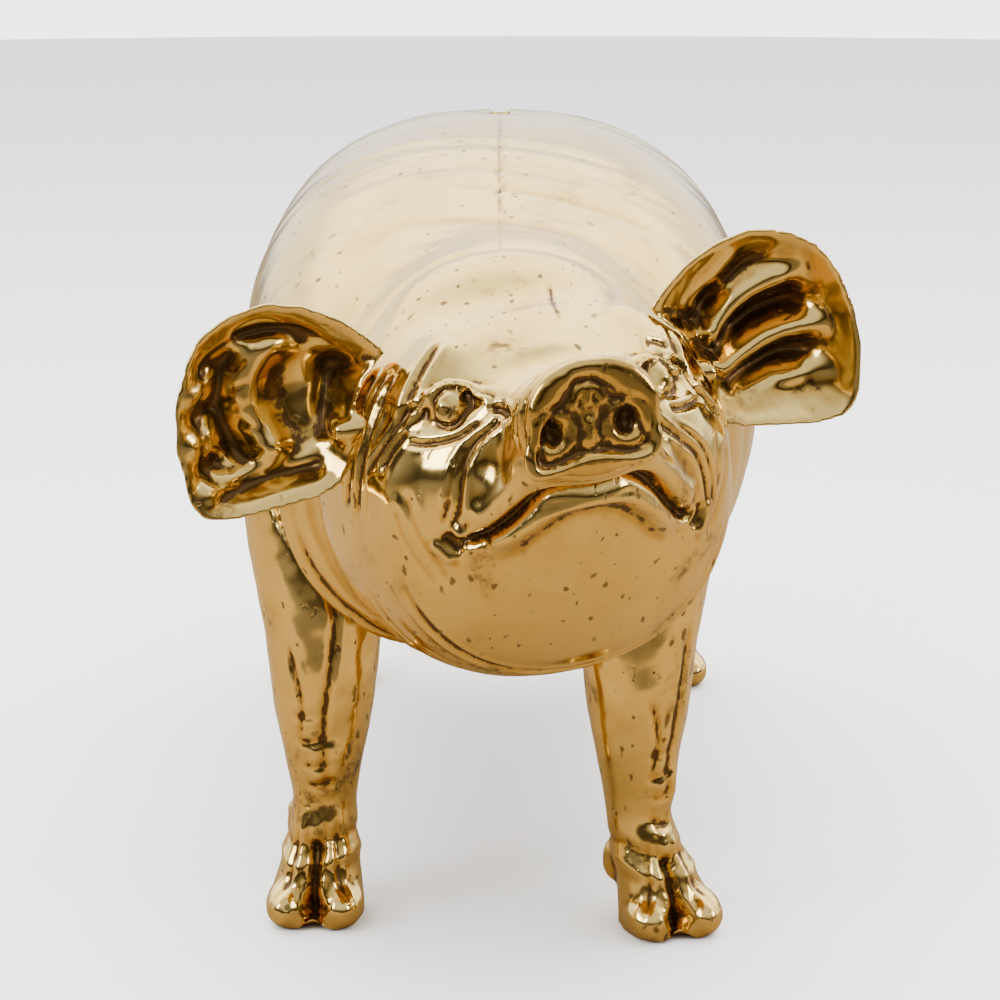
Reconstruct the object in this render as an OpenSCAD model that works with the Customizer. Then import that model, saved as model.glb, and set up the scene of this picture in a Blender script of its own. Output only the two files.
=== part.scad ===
// Pig still bank: a hollow cast metal pig in two half shells, with a separate hollow head,
// ears, legs and tail, and a threaded trap in the belly for taking the coins out.
// The pig faces -Y, its left side is +X and it stands on z = 0.

/* [Body] */
// Length of the body casting, from neck face to rump
body_len = 214; // [190:1:250]
// Width of the barrel
body_w = 122; // [106:1:146]
// Height of the crest of the back above the floor
back_h = 174; // [162:1:190]
// Height of the belly above the floor
belly_h = 60; // [56:1:64]
// Thickness of the cast walls
wall = 4; // [3.4:0.1:4.8]

/* [Head] */
// Length of the head, from neck face to snout
head_len = 74; // [66:1:84]
// Width of the head over the cheeks
head_w = 82; // [74:1:90]
// Turn of the head to the pig's left, degrees
head_turn = 14; // [0:1:16]
// How far the head stands to the pig's left of the body's middle
head_shift = 3; // [0:0.5:4]
// Tilt of the head about its own length, degrees
head_roll = 8; // [0:1:10]
// Reach of each ear, from its root to its outer edge
ear_reach = 44; // [36:1:50]
// Height of each ear
ear_h = 47; // [40:1:54]
// Thickness of each ear at its root
ear_thick = 4; // [3.2:0.1:4.8]

/* [Legs] */
// Distance between the middles of the two front hooves
front_stance = 80; // [72:1:88]
// Distance between the middles of the two hind hooves
hind_stance = 98; // [90:1:104]
// Width of a hoof at the sole
hoof_w = 22; // [18:0.5:26]

/* [Coin slot] */
// Length of the coin slot
slot_len = 38; // [34:0.5:44]
// Width of the coin slot
slot_w = 5; // [4.6:0.1:6]

/* [Trap] */
// Radius of the bore in the trap ring
trap_bore_r = 15; // [12.5:0.5:17]
// Height that the plug rises in one turn
trap_pitch = 2.5; // [2:0.1:3]
// Radius of the plug's flange
plug_flange_r = 18; // [17.5:0.1:19.5]

/* [Fasteners] */
// Radius of the assembly screws
screw_r = 2.5; // [2:0.1:3]
// Radius of the locating pins
pin_r = 1.2; // [1:0.1:1.4]

/* [Fits] */
// Radial clearance of a running fit
run_fit = 0.08; // [0.05:0.01:0.1]
// Gap between faces that meet when the trap is shut
seat_gap = 0.1; // [0.05:0.01:0.15]

/* [Hidden] */
$fn = 48;

brass = [0.78, 0.62, 0.34];
dark_brass = [0.55, 0.42, 0.22];
steel = [0.62, 0.62, 0.64];
leather = [0.36, 0.24, 0.15];

cut = 1;            // how far a cutting solid runs past a face
sides = 32;         // points round a cast cross-section
steps = 3;          // rings between two rows of a table

// Neck: a round spigot on the head, held by the lip of the two half shells
body_front = -68;                    // y of the neck face
body_rear = body_front + body_len;   // y of the rump's end
neck_z = 113;
neck_r = 25;
collar_r = 28;
lip = 5;                             // thickness of the lip that the collar sits behind
collar_t = 4;
neck_wall = 4;

// Body rows: [share of the length, share of the half width, height shares of top and bottom]
body_rows = [[0.00, 0.60, 0.75, 0.10], [0.06, 0.78, 0.83, 0.06], [0.15, 0.92, 0.90, 0.03],
             [0.30, 1.00, 0.97, 0.01], [0.48, 1.01, 1.00, 0.00], [0.66, 1.00, 0.99, 0.01],
             [0.80, 0.93, 0.92, 0.05], [0.91, 0.74, 0.79, 0.14], [0.975, 0.46, 0.64, 0.28],
             [1.00, 0.16, 0.51, 0.40]];
body_square = 0.84;                  // under 1 squares the cross-section up

// Head rows: [share of the length, share of the half width, top, bottom above the neck's middle]
head_rows = [[0.00, 0.87, 32, -40], [0.10, 0.98, 38, -43.5], [0.28, 1.00, 39, -43],
             [0.46, 0.90, 36, -38], [0.57, 0.76, 32, -30], [0.67, 0.57, 29, -20],
             [0.77, 0.40, 29, -6], [0.84, 0.35, 31, 5], [0.92, 0.33, 34, 10],
             [1.00, 0.32, 35, 12]];
head_square = 0.92;
bend_len = 24;                       // the turn and the roll build up over this length
ear_bend = 0.85;                     // the share of them that the ears have

// Ear outline from the upper root out round the rim to the lower root, and back up along the
// head: [out, up], as shares of its size
ear_rim = [[0.00, 0.31], [0.20, 0.49], [0.52, 0.60], [0.84, 0.49], [1.00, 0.18], [1.00, -0.12],
           [0.92, -0.30], [0.62, -0.30], [0.34, -0.26], [0.22, -0.16], [0.19, 0.03], [0.12, 0.20]];
ear_mid = [0.55, 0.12];              // the bottom of the hollow
ear_root_x = 27;                     // from the middle of the head
ear_root_z = 16;                     // above the neck's middle
ear_root_d = 17;                     // forward of the neck face
ear_cup = 11;                        // how far the rim stands forward of the hollow
ear_cup_start = 0.35;                // share of the cup's rise taken up before the root
ear_rim_thick = 2.2;
ear_rings = 6;
ear_tenon_r = 2.5;
ear_tenon_out = 13;                  // its outer end, from the root
ear_tenon = 18;

// Leg rows: [height, y past the hoof's middle, half width, half depth], the last two as
// shares of half a hoof's width
front_rows = [[0, 0, 1.00, 1.10], [5, 0.5, 0.99, 1.06], [13, 2, 0.84, 0.90],
              [20, 3, 0.76, 0.78], [28, 4, 0.68, 0.78], [39, 4, 0.86, 0.95],
              [52, 5, 1.08, 1.24], [66, 8, 1.22, 1.50], [80, 12, 1.50, 1.75],
              [96, 16, 1.70, 1.90], [108, 18, 1.60, 1.80]];
hind_rows = [[0, 0, 1.00, 1.05], [5, 0.5, 0.98, 1.02], [13, 2, 0.82, 0.86],
             [20, 5, 0.74, 0.78], [34, 9, 0.78, 0.95], [50, 4, 1.02, 1.36],
             [66, -4, 1.30, 1.95], [82, -12, 1.55, 2.35], [98, -18, 1.60, 2.30]];
leg_sides = 20;                      // sides of a leg's rings
lean_top = 30;                       // a leg leans over this height, and stands straight above it
// Hooves, front right, front left, hind right, hind left: [x, y, lean towards the middle]
front_right = [-front_stance / 2 - 2, -49, 2];
front_left = [front_stance / 2 - 2, -55, 7];
hind_right = [-hind_stance / 2, body_rear - 18, 3];
hind_left = [hind_stance / 2, body_rear - 18, 3];
tenon_r = 5;
tenon_foot = belly_h * 0.8;          // height of a tenon's lower end
tenon_z = belly_h + 28;              // height of its upper end
tenon_top = 6;                       // how much further its hole runs
tenon_inset = 3;                     // how much further in than the leaning leg a tenon stands
front_tenon_back = 12;               // behind the front hooves' middles
hind_tenon_ahead = 10;               // ahead of the hind hooves' middles

// Trap: a ring clamped in the belly, with a screwed plug and a washer under its flange
trap_y = body_front + 0.46 * body_len;
boss_r = trap_bore_r + 12;
boss_bottom = belly_h - 1;
boss_top = boss_bottom + 12;
ring_r = trap_bore_r + 4;
ring_flange_r = ring_r + 3;
ring_flange_t = 3;
ring_flange_z = boss_bottom + 5;
plug_r = trap_bore_r - run_fit;
plug_neck_r = plug_r - 2;
trap_turns = 3.6;                    // turns of thread on the plug
plug_rise = trap_turns * trap_pitch; // length of the plug's screwed part above the washer
washer_t = 1.2;
washer_z = boss_bottom - seat_gap - washer_t;
plug_flange_t = 3;
plug_flange_z = washer_z - seat_gap - plug_flange_t;
plug_slot_w = 2.4;
plug_slot_d = 1.6;

// Screws: each runs through two pillars, its head on the right flank and its nut on the left
front_screw = [trap_y + 30, 108];    // y and height
rear_screw = [body_rear - 34, 112];
pillar_r = screw_r + 4;
screw_head_r = screw_r * 2;
screw_head_h = screw_r * 1.1;
screw_slot_w = 1;
nut_w = screw_r * 3.4;
nut_t = 4;
nut_fit = 0.1;
nut_depth = 3;                       // from the flank in to the nut's outer face

// Coin slot, just behind the crest of the back
slot_y = body_front + 0.62 * body_len;

// Locating pins across the joint of the half shells: shares of the body's length, on top or below
pins_top = [0.12, 0.88];
pins_below = [0.14, 0.86];
pin_half = 5;

// Tail: one curl of a tapering rod on the rump
tail_z = belly_h + 0.47 * (back_h - belly_h);
tail_r = 3.4;
tail_tip_r = 1.5;
tail_curl_r = 8;
tail_rings = 26;
tail_sides = 10;
tail_out = 5;                        // how far the curl stands off the rump
tail_root = 10;                      // how far its root runs into the shell
tail_root_share = 0.22;              // share of its length that comes straight out
tail_sweep = 400;                    // degrees that the curl turns
tail_closing = 0.25;                 // share of the curl's radius lost by the tip
tail_lead = 3;                       // how far the curl winds off backwards

function mix(a, b, t) = a + (b - a) * t;
function signed_power(v, e) = sign(v) * pow(abs(v), e);
function ease(t) = let (s = min(max(t, 0), 1)) s * s * (3 - 2 * s);

// A smooth curve through four rows, from the second to the third
function curve(a, b, c, d, t) =
    (2 * b + (c - a) * t + (2 * a - 5 * b + 4 * c - d) * t * t
     + (3 * b - a - 3 * c + d) * t * t * t) / 2;

// The rows of a table, with smooth rows put in between them
function smooth_rows(rows, n) = concat(
    [for (i = [0:len(rows) - 2]) for (k = [0:n - 1])
        curve(rows[max(i - 1, 0)], rows[i], rows[i + 1], rows[min(i + 2, len(rows) - 1)], k / n)],
    [rows[len(rows) - 1]]);

// One value of a table of rows at share t of its length
function row_at(rows, t, k) =
    let (i = max([for (j = [0:len(rows) - 2]) rows[j][0] <= t ? j : 0]),
         a = rows[i], b = rows[i + 1])
    mix(a[k], b[k], (t - a[0]) / (b[0] - a[0]));

// A rounded ring in the XZ plane
function upright_ring(x, y, z, hw, hh, e, n) =
    [for (i = [0:n - 1]) let (a = 360 * i / n)
        [x + hw * signed_power(cos(a), e), y, z + hh * signed_power(sin(a), e)]];

// A rounded ring in the XY plane
function level_ring(x, y, z, hw, hd, n) =
    [for (i = [0:n - 1]) let (a = 360 * i / n) [x + hw * cos(a), y - hd * sin(a), z]];

// A body height from its share
function body_z(s) = mix(belly_h, back_h, s);

// Rings of the body, drawn in by inset on every side
function body_rings(inset) =
    [for (r = smooth_rows(body_rows, steps))
        let (y = mix(body_front, body_rear, 0.5) + (r[0] - 0.5) * (body_len - 2 * inset),
             top = body_z(r[2]), low = body_z(r[3]))
        upright_ring(0, y, (top + low) / 2, max(r[1] * body_w / 2 - inset, 1.5),
                     max((top - low) / 2 - inset, 1.5), body_square, sides)];

// Turns, rolls and shifts a point of the head about the neck's middle, by share s
function bent(p, s) =
    let (d = -p[1], roll = head_roll * s, turn = head_turn * s,
         x = p[0] * cos(roll) - p[2] * sin(roll),
         z = p[0] * sin(roll) + p[2] * cos(roll))
    [head_shift * s + x * cos(turn) + d * sin(turn), body_front - d * cos(turn) + x * sin(turn), neck_z + z];

// Rings of the head, drawn in by inset
function head_rings(inset) =
    [for (r = smooth_rows(head_rows, steps))
        let (d = inset + r[0] * (head_len - 2 * inset))
        [for (p = upright_ring(0, -d, (r[2] + r[3]) / 2, max(r[1] * head_w / 2 - inset, 1.5),
                               max((r[2] - r[3]) / 2 - inset, 1.5), head_square, sides))
            bent(p, ease(d / bend_len))]];

// Rings of the right ear in the head's own frame: its front face (back = 0) or rear face (1)
function ear_sheet(back) =
    let (rim = smooth_rows(ear_rim, 2))
    [for (k = [1:ear_rings]) let (s = k / ear_rings)
        [for (p = rim)
            [-ear_root_x - ear_reach * mix(ear_mid[0], p[0], s),
             -ear_root_d - ear_cup * (s * s - ear_cup_start) + back * mix(ear_thick, ear_rim_thick, s),
             ear_root_z + ear_h * mix(ear_mid[1], p[1], s)]]];

// A leg's rings, from its rows and its hoof
function leg_rings(rows, hoof) =
    [for (r = smooth_rows(rows, 2))
        let (x = hoof[0] - sign(hoof[0]) * hoof[2] * ease(r[0] / lean_top))
        level_ring(x, hoof[1] + r[1], r[0], r[2] * hoof_w / 2, r[3] * hoof_w / 2, leg_sides)];

// Point of the tail's middle line at share t
function tail_point(t) =
    let (free = max(t - tail_root_share, 0), root = min(t / tail_root_share, 1),
         a = tail_sweep * free / (1 - tail_root_share), r = tail_curl_r * (1 - tail_closing * t))
    [r * (1 - cos(a)),
     body_rear + mix(-tail_root, tail_out, root) + tail_lead * free,
     tail_z + r * sin(a)];

// Rings round the tail's middle line
function tail_tube() =
    [for (k = [0:tail_rings])
        let (t = k / tail_rings, p = tail_point(t), q = tail_point(t + 0.01),
             along = (q - p) / norm(q - p),
             side = cross(along, [0.3, 0.9, 0.3]), u = side / norm(side), v = cross(along, u),
             r = mix(tail_r, tail_tip_r, t))
        [for (i = [0:tail_sides - 1]) let (a = 360 * i / tail_sides)
            p + r * (u * cos(a) + v * sin(a))]];

// The middle of a ring of points
function middle(ring) = [for (p = ring) 1] * ring / len(ring);

// The whole pig stands with the middle of its outline over the origin
ears_out = [for (side = [-1, 1]) for (ring = ear_sheet(0)) for (p = ring)
    bent([-side * p[0], p[1], p[2]], ear_bend)[0]];
mid_x = (max(ears_out) + min(ears_out)) / 2;
tail_ys = [for (ring = tail_tube()) for (p = ring) p[1]];
snout_ys = [for (p = head_rings(0)[len(head_rings(0)) - 1]) p[1]];
mid_y = (max(tail_ys) + min(snout_ys)) / 2;

// Puts the pig's middle over the origin
module at_home() {
    translate([-mid_x, -mid_y, 0]) children();
}

// A closed skin over a row of rings, with fanned ends; flip for rings that run the other way round
module skin(rings, flip = false) {
    n = len(rings[0]);
    m = len(rings);
    rims = [for (ring = rings) for (i = [0:n - 1]) ring[flip ? n - 1 - i : i]];
    points = concat(rims, [middle(rings[0]), middle(rings[m - 1])]);
    walls = [for (i = [0:m - 2]) for (k = [0:n - 1]) let (j = (k + 1) % n)
        each [[i * n + k, i * n + j, (i + 1) * n + j], [i * n + k, (i + 1) * n + j, (i + 1) * n + k]]];
    first = [for (k = [0:n - 1]) [m * n, (k + 1) % n, k]];
    last = [for (k = [0:n - 1]) [m * n + 1, (m - 1) * n + k, (m - 1) * n + (k + 1) % n]];
    polyhedron(points = points, faces = concat(walls, first, last));
}

// A round bar along X between two places
module bar_x(x1, x2, y, z, r) {
    translate([x1, y, z]) rotate([0, 90, 0]) cylinder(r = r, h = x2 - x1);
}

// The solid that the outside of the body fills
module body_form() {
    skin(body_rings(0));
}

// Half of the space: side 1 keeps the left
module half_space(side) {
    reach = body_w;
    translate([side > 0 ? 0 : -reach, body_front - reach, 0])
        cube([reach, body_len + 2 * reach, back_h + reach]);
}

// How far out the flank lies at a screw, by the body's own rows
function flank(at) =
    let (t = (at[0] - body_front) / body_len,
         top = body_z(row_at(body_rows, t, 2)), low = body_z(row_at(body_rows, t, 3)),
         up = abs(at[1] - (top + low) / 2) / ((top - low) / 2))
    row_at(body_rows, t, 1) * body_w / 2 * pow(1 - pow(up, 2 / body_square), body_square / 2);

// Height of the wall's middle on the joint line, on top (k = 2) or below (k = 3)
function rim_z(t, k) = body_z(row_at(body_rows, t, k)) + (k == 2 ? -1 : 1) * wall / 2;

// One half shell; side is 1 for left
module half_shell(side) {
    intersection() {
        difference() {
            union() {
                difference() {
                    body_form();
                    skin(body_rings(wall));
                }
                trap_boss();
                pillars();
                neck_lip();
            }
            neck_bore();
            trap_seat();
            screw_holes(side);
            coin_slot();
            pin_holes(pin_r);
            leg_sockets();
            tail_socket();
        }
        half_space(side);
    }
}

// Thick round pad in the belly that carries the trap
module trap_boss() {
    translate([0, trap_y, boss_bottom]) cylinder(r = boss_r, h = boss_top - boss_bottom);
}

// Seat of the trap ring, with the groove for its flange
module trap_seat() {
    translate([0, trap_y, boss_bottom - cut])
        cylinder(r = ring_r, h = boss_top - boss_bottom + 2 * cut);
    translate([0, trap_y, ring_flange_z]) cylinder(r = ring_flange_r, h = ring_flange_t);
}

// Pillars that the assembly screws run through
module pillars() {
    for (at = [front_screw, rear_screw])
        bar_x(-flank(at) + wall / 2, flank(at) - wall / 2, at[0], at[1], pillar_r);
}

// Holes of the screws, with the head's seat on the right and the nut's pocket on the left
module screw_holes(side) {
    for (at = [front_screw, rear_screw]) {
        bar_x(-body_w, body_w, at[0], at[1], screw_r + run_fit);
        if (side < 0)
            bar_x(-body_w, screw_seat(at), at[0], at[1], screw_head_r + run_fit);
        if (side > 0)
            translate([flank(at) - nut_depth - nut_t, at[0] - nut_w / 2, at[1] - nut_w / 2])
                cube([body_w, nut_w, nut_w]);
    }
}

// Where a screw's head ends on its inner side
function screw_seat(at) = -flank(at) + nut_depth + screw_head_h;

// Lip round the neck, in front of the collar's groove
module neck_lip() {
    translate([0, body_front + lip + collar_t + lip, neck_z]) rotate([90, 0, 0])
        cylinder(r = collar_r + neck_wall, h = lip + collar_t + lip);
}

// Opening for the neck's spigot and the groove for its collar
module neck_bore() {
    translate([0, body_front + 2 * lip + collar_t + cut, neck_z]) rotate([90, 0, 0])
        cylinder(r = neck_r, h = 2 * lip + collar_t + 2 * cut);
    translate([0, body_front + lip + collar_t, neck_z]) rotate([90, 0, 0])
        cylinder(r = collar_r, h = collar_t);
}

// Slot for the coins, half of it in each shell
module coin_slot() {
    for (end = [-1, 1])
        translate([0, slot_y + end * (slot_len - slot_w) / 2, back_h / 2 + belly_h / 2])
            cylinder(r = slot_w / 2, h = back_h);
    translate([-slot_w / 2, slot_y - (slot_len - slot_w) / 2, back_h / 2 + belly_h / 2])
        cube([slot_w, slot_len - slot_w, back_h]);
}

// Pins or their holes, on the joint line
module pin_holes(r) {
    for (t = pins_top) bar_x(-pin_half, pin_half, mix(body_front, body_rear, t), rim_z(t, 2), r);
    for (t = pins_below) bar_x(-pin_half, pin_half, mix(body_front, body_rear, t), rim_z(t, 3), r);
}

// The middle of a leg's tenon
function tenon_at(hoof) =
    [hoof[0] - sign(hoof[0]) * (hoof[2] + tenon_inset),
     hoof[1] + (hoof[1] < 0 ? front_tenon_back : -hind_tenon_ahead)];

// Holes for the leg tenons
module leg_sockets() {
    for (hoof = [front_right, front_left, hind_right, hind_left])
        translate([tenon_at(hoof)[0], tenon_at(hoof)[1], belly_h / 2])
            cylinder(r = tenon_r, h = tenon_z + tenon_top + cut - belly_h / 2);
}

// Hole for the tail's root
module tail_socket() {
    translate([0, body_rear + tail_out, tail_z]) rotate([90, 0, 0])
        cylinder(r = tail_r, h = tail_out + 2 * tail_root);
}

module body_right_half() {
    color(brass) at_home() half_shell(-1);
}

module body_left_half() {
    color(brass) at_home() half_shell(1);
}

// Hollow head, with the neck's spigot, collar and ear sockets
module head() {
    color(brass) at_home() difference() {
        union() {
            difference() {
                skin(head_rings(0), true);
                skin(head_rings(wall), true);
            }
            translate([0, body_front + lip + collar_t, neck_z]) rotate([90, 0, 0])
                cylinder(r = neck_r - run_fit, h = lip + collar_t + wall);
            translate([0, body_front + lip + collar_t - run_fit, neck_z]) rotate([90, 0, 0])
                cylinder(r = collar_r - run_fit, h = collar_t - 2 * run_fit);
        }
        translate([0, body_front + lip + collar_t + cut, neck_z]) rotate([90, 0, 0])
            cylinder(r = neck_r - neck_wall, h = lip + collar_t + 2 * wall + cut);
        for (side = [-1, 1]) on_head(side) ear_tenon(cut);
    }
}

// Puts a piece made for the right of the head in place on the right (-1) or the left (1)
module on_head(side) {
    translate([head_shift * ear_bend, body_front, neck_z])
        rotate([0, -head_roll * ear_bend, head_turn * ear_bend])
            mirror([side > 0 ? 1 : 0, 0, 0]) children();
}

// Round tenon of an ear, with extra length for its socket
module ear_tenon(extra) {
    bar_x(-ear_root_x - ear_tenon_out, ear_tenon - ear_root_x - ear_tenon_out + extra,
          -ear_root_d - ear_cup / 2, ear_root_z, ear_tenon_r);
}

// Cupped ear with a tenon, its root edge let into the head's wall
module ear(side) {
    front = ear_sheet(0);
    rear = ear_sheet(1);
    n = len(front);
    on_head(side) {
        skin(concat(front, [for (k = [n - 1:-1:0]) rear[k]]));
        ear_tenon(0);
    }
}

module ear_right() {
    color(dark_brass) at_home() ear(-1);
}

module ear_left() {
    color(dark_brass) at_home() ear(1);
}

// A leg with its tenon, its top cut to the body's outside
module leg(rows, hoof) {
    difference() {
        skin(leg_rings(rows, hoof));
        body_form();
    }
    translate([tenon_at(hoof)[0], tenon_at(hoof)[1], tenon_foot])
        cylinder(r = tenon_r, h = tenon_z - tenon_foot);
}

module leg_front_right() {
    color(brass) at_home() leg(front_rows, front_right);
}

module leg_front_left() {
    color(brass) at_home() leg(front_rows, front_left);
}

module leg_hind_right() {
    color(brass) at_home() leg(hind_rows, hind_right);
}

module leg_hind_left() {
    color(brass) at_home() leg(hind_rows, hind_left);
}

module tail() {
    color(brass) at_home() skin(tail_tube(), true);
}

// Slotted screw from the right flank to its nut
module assembly_screw(at) {
    difference() {
        union() {
            bar_x(screw_seat(at) - screw_head_h, screw_seat(at), at[0], at[1], screw_head_r);
            bar_x(screw_seat(at) - cut, flank(at) - nut_depth, at[0], at[1], screw_r);
        }
        translate([screw_seat(at) - screw_head_h - cut, at[0] - screw_slot_w / 2, at[1] - screw_head_r])
            cube([screw_head_h / 2 + cut, screw_slot_w, 2 * screw_head_r]);
    }
}

module assembly_screw_front() {
    color(dark_brass) at_home() assembly_screw(front_screw);
}

module assembly_screw_rear() {
    color(dark_brass) at_home() assembly_screw(rear_screw);
}

module square_nuts() {
    color(dark_brass) at_home() for (at = [front_screw, rear_screw])
        difference() {
            translate([flank(at) - nut_depth - nut_t, at[0] - nut_w / 2 + nut_fit,
                       at[1] - nut_w / 2 + nut_fit])
                cube([nut_t, nut_w - 2 * nut_fit, nut_w - 2 * nut_fit]);
            bar_x(0, body_w, at[0], at[1], screw_r);
        }
}

module locating_pins() {
    color(steel) at_home() pin_holes(pin_r);
}

// Threaded ring for the trap, held by its flange in the belly's groove
module trap_ring() {
    color(dark_brass) at_home() difference() {
        translate([0, trap_y, 0]) {
            translate([0, 0, boss_bottom]) cylinder(r = ring_r, h = boss_top - boss_bottom);
            translate([0, 0, ring_flange_z]) cylinder(r = ring_flange_r, h = ring_flange_t);
        }
        translate([0, trap_y, boss_bottom - cut])
            cylinder(r = trap_bore_r, h = boss_top - boss_bottom + 2 * cut);
    }
}

module plug_washer() {
    color(leather) at_home() translate([0, trap_y, washer_z]) difference() {
        cylinder(r = plug_flange_r - 0.5, h = washer_t);
        translate([0, 0, -cut]) cylinder(r = plug_neck_r + run_fit, h = washer_t + 2 * cut);
    }
}

// Screwed plug with a slot for a coin's edge
module trap_plug() {
    color(brass) at_home() translate([0, trap_y, 0]) difference() {
        union() {
            translate([0, 0, plug_flange_z]) cylinder(r = plug_flange_r, h = plug_flange_t);
            translate([0, 0, plug_flange_z]) cylinder(r = plug_neck_r, h = plug_rise);
            translate([0, 0, boss_bottom + cut]) cylinder(r = plug_r, h = plug_rise);
        }
        translate([-plug_flange_r, -plug_slot_w / 2, plug_flange_z - cut])
            cube([2 * plug_flange_r, plug_slot_w, plug_slot_d + cut]);
    }
}

body_right_half();
body_left_half();
head();
ear_right();
ear_left();
leg_front_right();
leg_front_left();
leg_hind_right();
leg_hind_left();
tail();
assembly_screw_front();
assembly_screw_rear();
square_nuts();
locating_pins();
trap_ring();
plug_washer();
trap_plug();
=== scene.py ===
"""Standing pig still bank in polished cast brass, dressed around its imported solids.

Each casting starts as a copy of its own solid. It is turned into clay, smoothed,
built up with beads and balls, worked with strokes of a modelling tool and then
cast in a brass that keeps dark patina in its folds.
"""

import logging
import math
from dataclasses import dataclass, field
from enum import Enum

import bmesh
import bpy
import numpy as np
from mathutils import Matrix, Vector
from mathutils.bvhtree import BVHTree


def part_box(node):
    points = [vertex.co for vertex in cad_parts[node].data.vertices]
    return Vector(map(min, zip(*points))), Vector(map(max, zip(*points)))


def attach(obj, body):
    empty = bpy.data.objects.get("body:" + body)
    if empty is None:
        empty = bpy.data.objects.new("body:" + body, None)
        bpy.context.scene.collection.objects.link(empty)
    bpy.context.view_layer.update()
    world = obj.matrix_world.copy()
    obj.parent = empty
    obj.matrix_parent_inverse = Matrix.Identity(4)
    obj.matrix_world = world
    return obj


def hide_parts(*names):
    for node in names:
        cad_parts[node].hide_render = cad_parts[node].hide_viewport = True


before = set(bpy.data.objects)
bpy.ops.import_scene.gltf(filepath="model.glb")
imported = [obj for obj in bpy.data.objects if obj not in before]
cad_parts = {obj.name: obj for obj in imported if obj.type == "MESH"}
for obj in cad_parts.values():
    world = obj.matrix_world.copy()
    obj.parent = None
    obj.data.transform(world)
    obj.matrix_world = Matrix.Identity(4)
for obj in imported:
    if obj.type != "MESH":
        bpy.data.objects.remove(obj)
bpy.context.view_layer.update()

MM = 0.001
LOG = logging.getLogger("pig_bank")

Point = tuple[float, float, float]
Line = tuple[Point, ...]


class Side(Enum):
    """The pig's own right or left, as the sign of X."""

    RIGHT = -1
    LEFT = 1


class Body(Enum):
    """The body that every cast piece rides on."""

    BANK = "bank"


# --------------------------------------------------------------------------
# Clay: the sculpting bench
# --------------------------------------------------------------------------


@dataclass(frozen=True)
class Stroke:
    """One pass of the modelling tool along a line.

    Args:
        line: The tool's path, in the millimetres of the piece's own frame.
        width: Half the width of the tool, in millimetres.
        height: How far the clay rises, in millimetres; below zero it is cut.
        stain: Patina left by the pass, from 0 to 1.
        lip: Share of the height thrown up beside a cut.
        fade: Share of the path over which the pass fades in and out.
        closed: Whether the path comes back to its start.
    """

    line: Line
    width: float
    height: float
    stain: float = 0.0
    lip: float = 0.0
    fade: float = 0.2
    closed: bool = False


@dataclass(frozen=True)
class OwnFrame:
    """A straight frame in millimetres with its origin in the bank.

    Args:
        origin: The frame's origin, in metres.
    """

    origin: Point = (0.0, 0.0, 0.0)

    def place(self, points: np.ndarray) -> np.ndarray:
        """Carries own millimetres into the bank's metres.

        Args:
            points: Rows of x, y and z in millimetres.

        Returns:
            The same rows in metres.
        """
        return np.asarray(points, float) * MM + np.array(self.origin)

    def turn(self, vectors: np.ndarray) -> np.ndarray:
        """Carries own directions into the bank's, which are the same here."""
        return np.asarray(vectors, float)


@dataclass(frozen=True)
class HeadFrame(OwnFrame):
    """The head's frame: across, out from the neck, and up.

    Args:
        turn_angle: Degrees that the head is turned to its left.
        roll_angle: Degrees that the head is rolled over.
    """

    turn_angle: float = 14.0
    roll_angle: float = 8.0

    def turn(self, vectors: np.ndarray) -> np.ndarray:
        """Turns head directions into the bank's directions.

        Args:
            vectors: Rows of across, out and up.

        Returns:
            Rows of x, y and z.
        """
        rows = np.asarray(vectors, float)
        roll, turn = math.radians(self.roll_angle), math.radians(self.turn_angle)
        across = rows[:, 0] * math.cos(roll) - rows[:, 2] * math.sin(roll)
        up = rows[:, 0] * math.sin(roll) + rows[:, 2] * math.cos(roll)
        out = -rows[:, 1]
        return np.stack(
            [
                across * math.cos(turn) - out * math.sin(turn),
                across * math.sin(turn) + out * math.cos(turn),
                up,
            ],
            axis=1,
        )

    def place(self, points: np.ndarray) -> np.ndarray:
        """Carries head millimetres into the bank's metres.

        Args:
            points: Rows of across, out and up in millimetres.

        Returns:
            The same rows in metres.
        """
        return self.turn(np.asarray(points, float)) * MM + np.array(self.origin)


def flowing(points: np.ndarray, closed: bool, steps: int = 5) -> np.ndarray:
    """Runs a smooth path through a few points.

    Args:
        points: The points that the path passes through.
        closed: Whether the path comes back to its start.
        steps: Pieces between two points.

    Returns:
        The points of the smooth path.
    """
    if len(points) < 3:
        return points
    if closed:
        rows = np.concatenate([points[-1:], points, points[:2]])
    else:
        rows = np.concatenate([points[:1], points, points[-1:]])
    path = []
    for i in range(1, len(rows) - 2):
        a, b, c, d = rows[i - 1], rows[i], rows[i + 1], rows[i + 2]
        for t in np.arange(steps) / steps:
            path.append(
                0.5
                * (
                    2 * b
                    + (c - a) * t
                    + (2 * a - 5 * b + 4 * c - d) * t**2
                    + (3 * b - a - 3 * c + d) * t**3
                )
            )
    path.append(rows[-2])
    return np.array(path)


def worked_mesh(piece: bpy.types.Object) -> bpy.types.Mesh:
    """Gives a new mesh of an object as its modifiers or its bevel leave it."""
    return bpy.data.meshes.new_from_object(
        piece.evaluated_get(bpy.context.evaluated_depsgraph_get())
    )


def ring(centre: Point, across: float, up: float, steps: int = 8, sway: float = 0.0) -> Line:
    """Gives a closed ring of points round a place on the front of the head.

    Args:
        centre: The ring's centre in own millimetres.
        across: Its half width.
        up: Its half height.
        steps: Number of points.
        sway: How far its points lean back out of the ring's plane as they go across.

    Returns:
        The ring's points.
    """
    x, out, z = centre
    angles = [2 * math.pi * i / steps for i in range(steps)]
    return tuple((x + across * math.cos(a), out - sway * math.cos(a), z + up * math.sin(a)) for a in angles)


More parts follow.
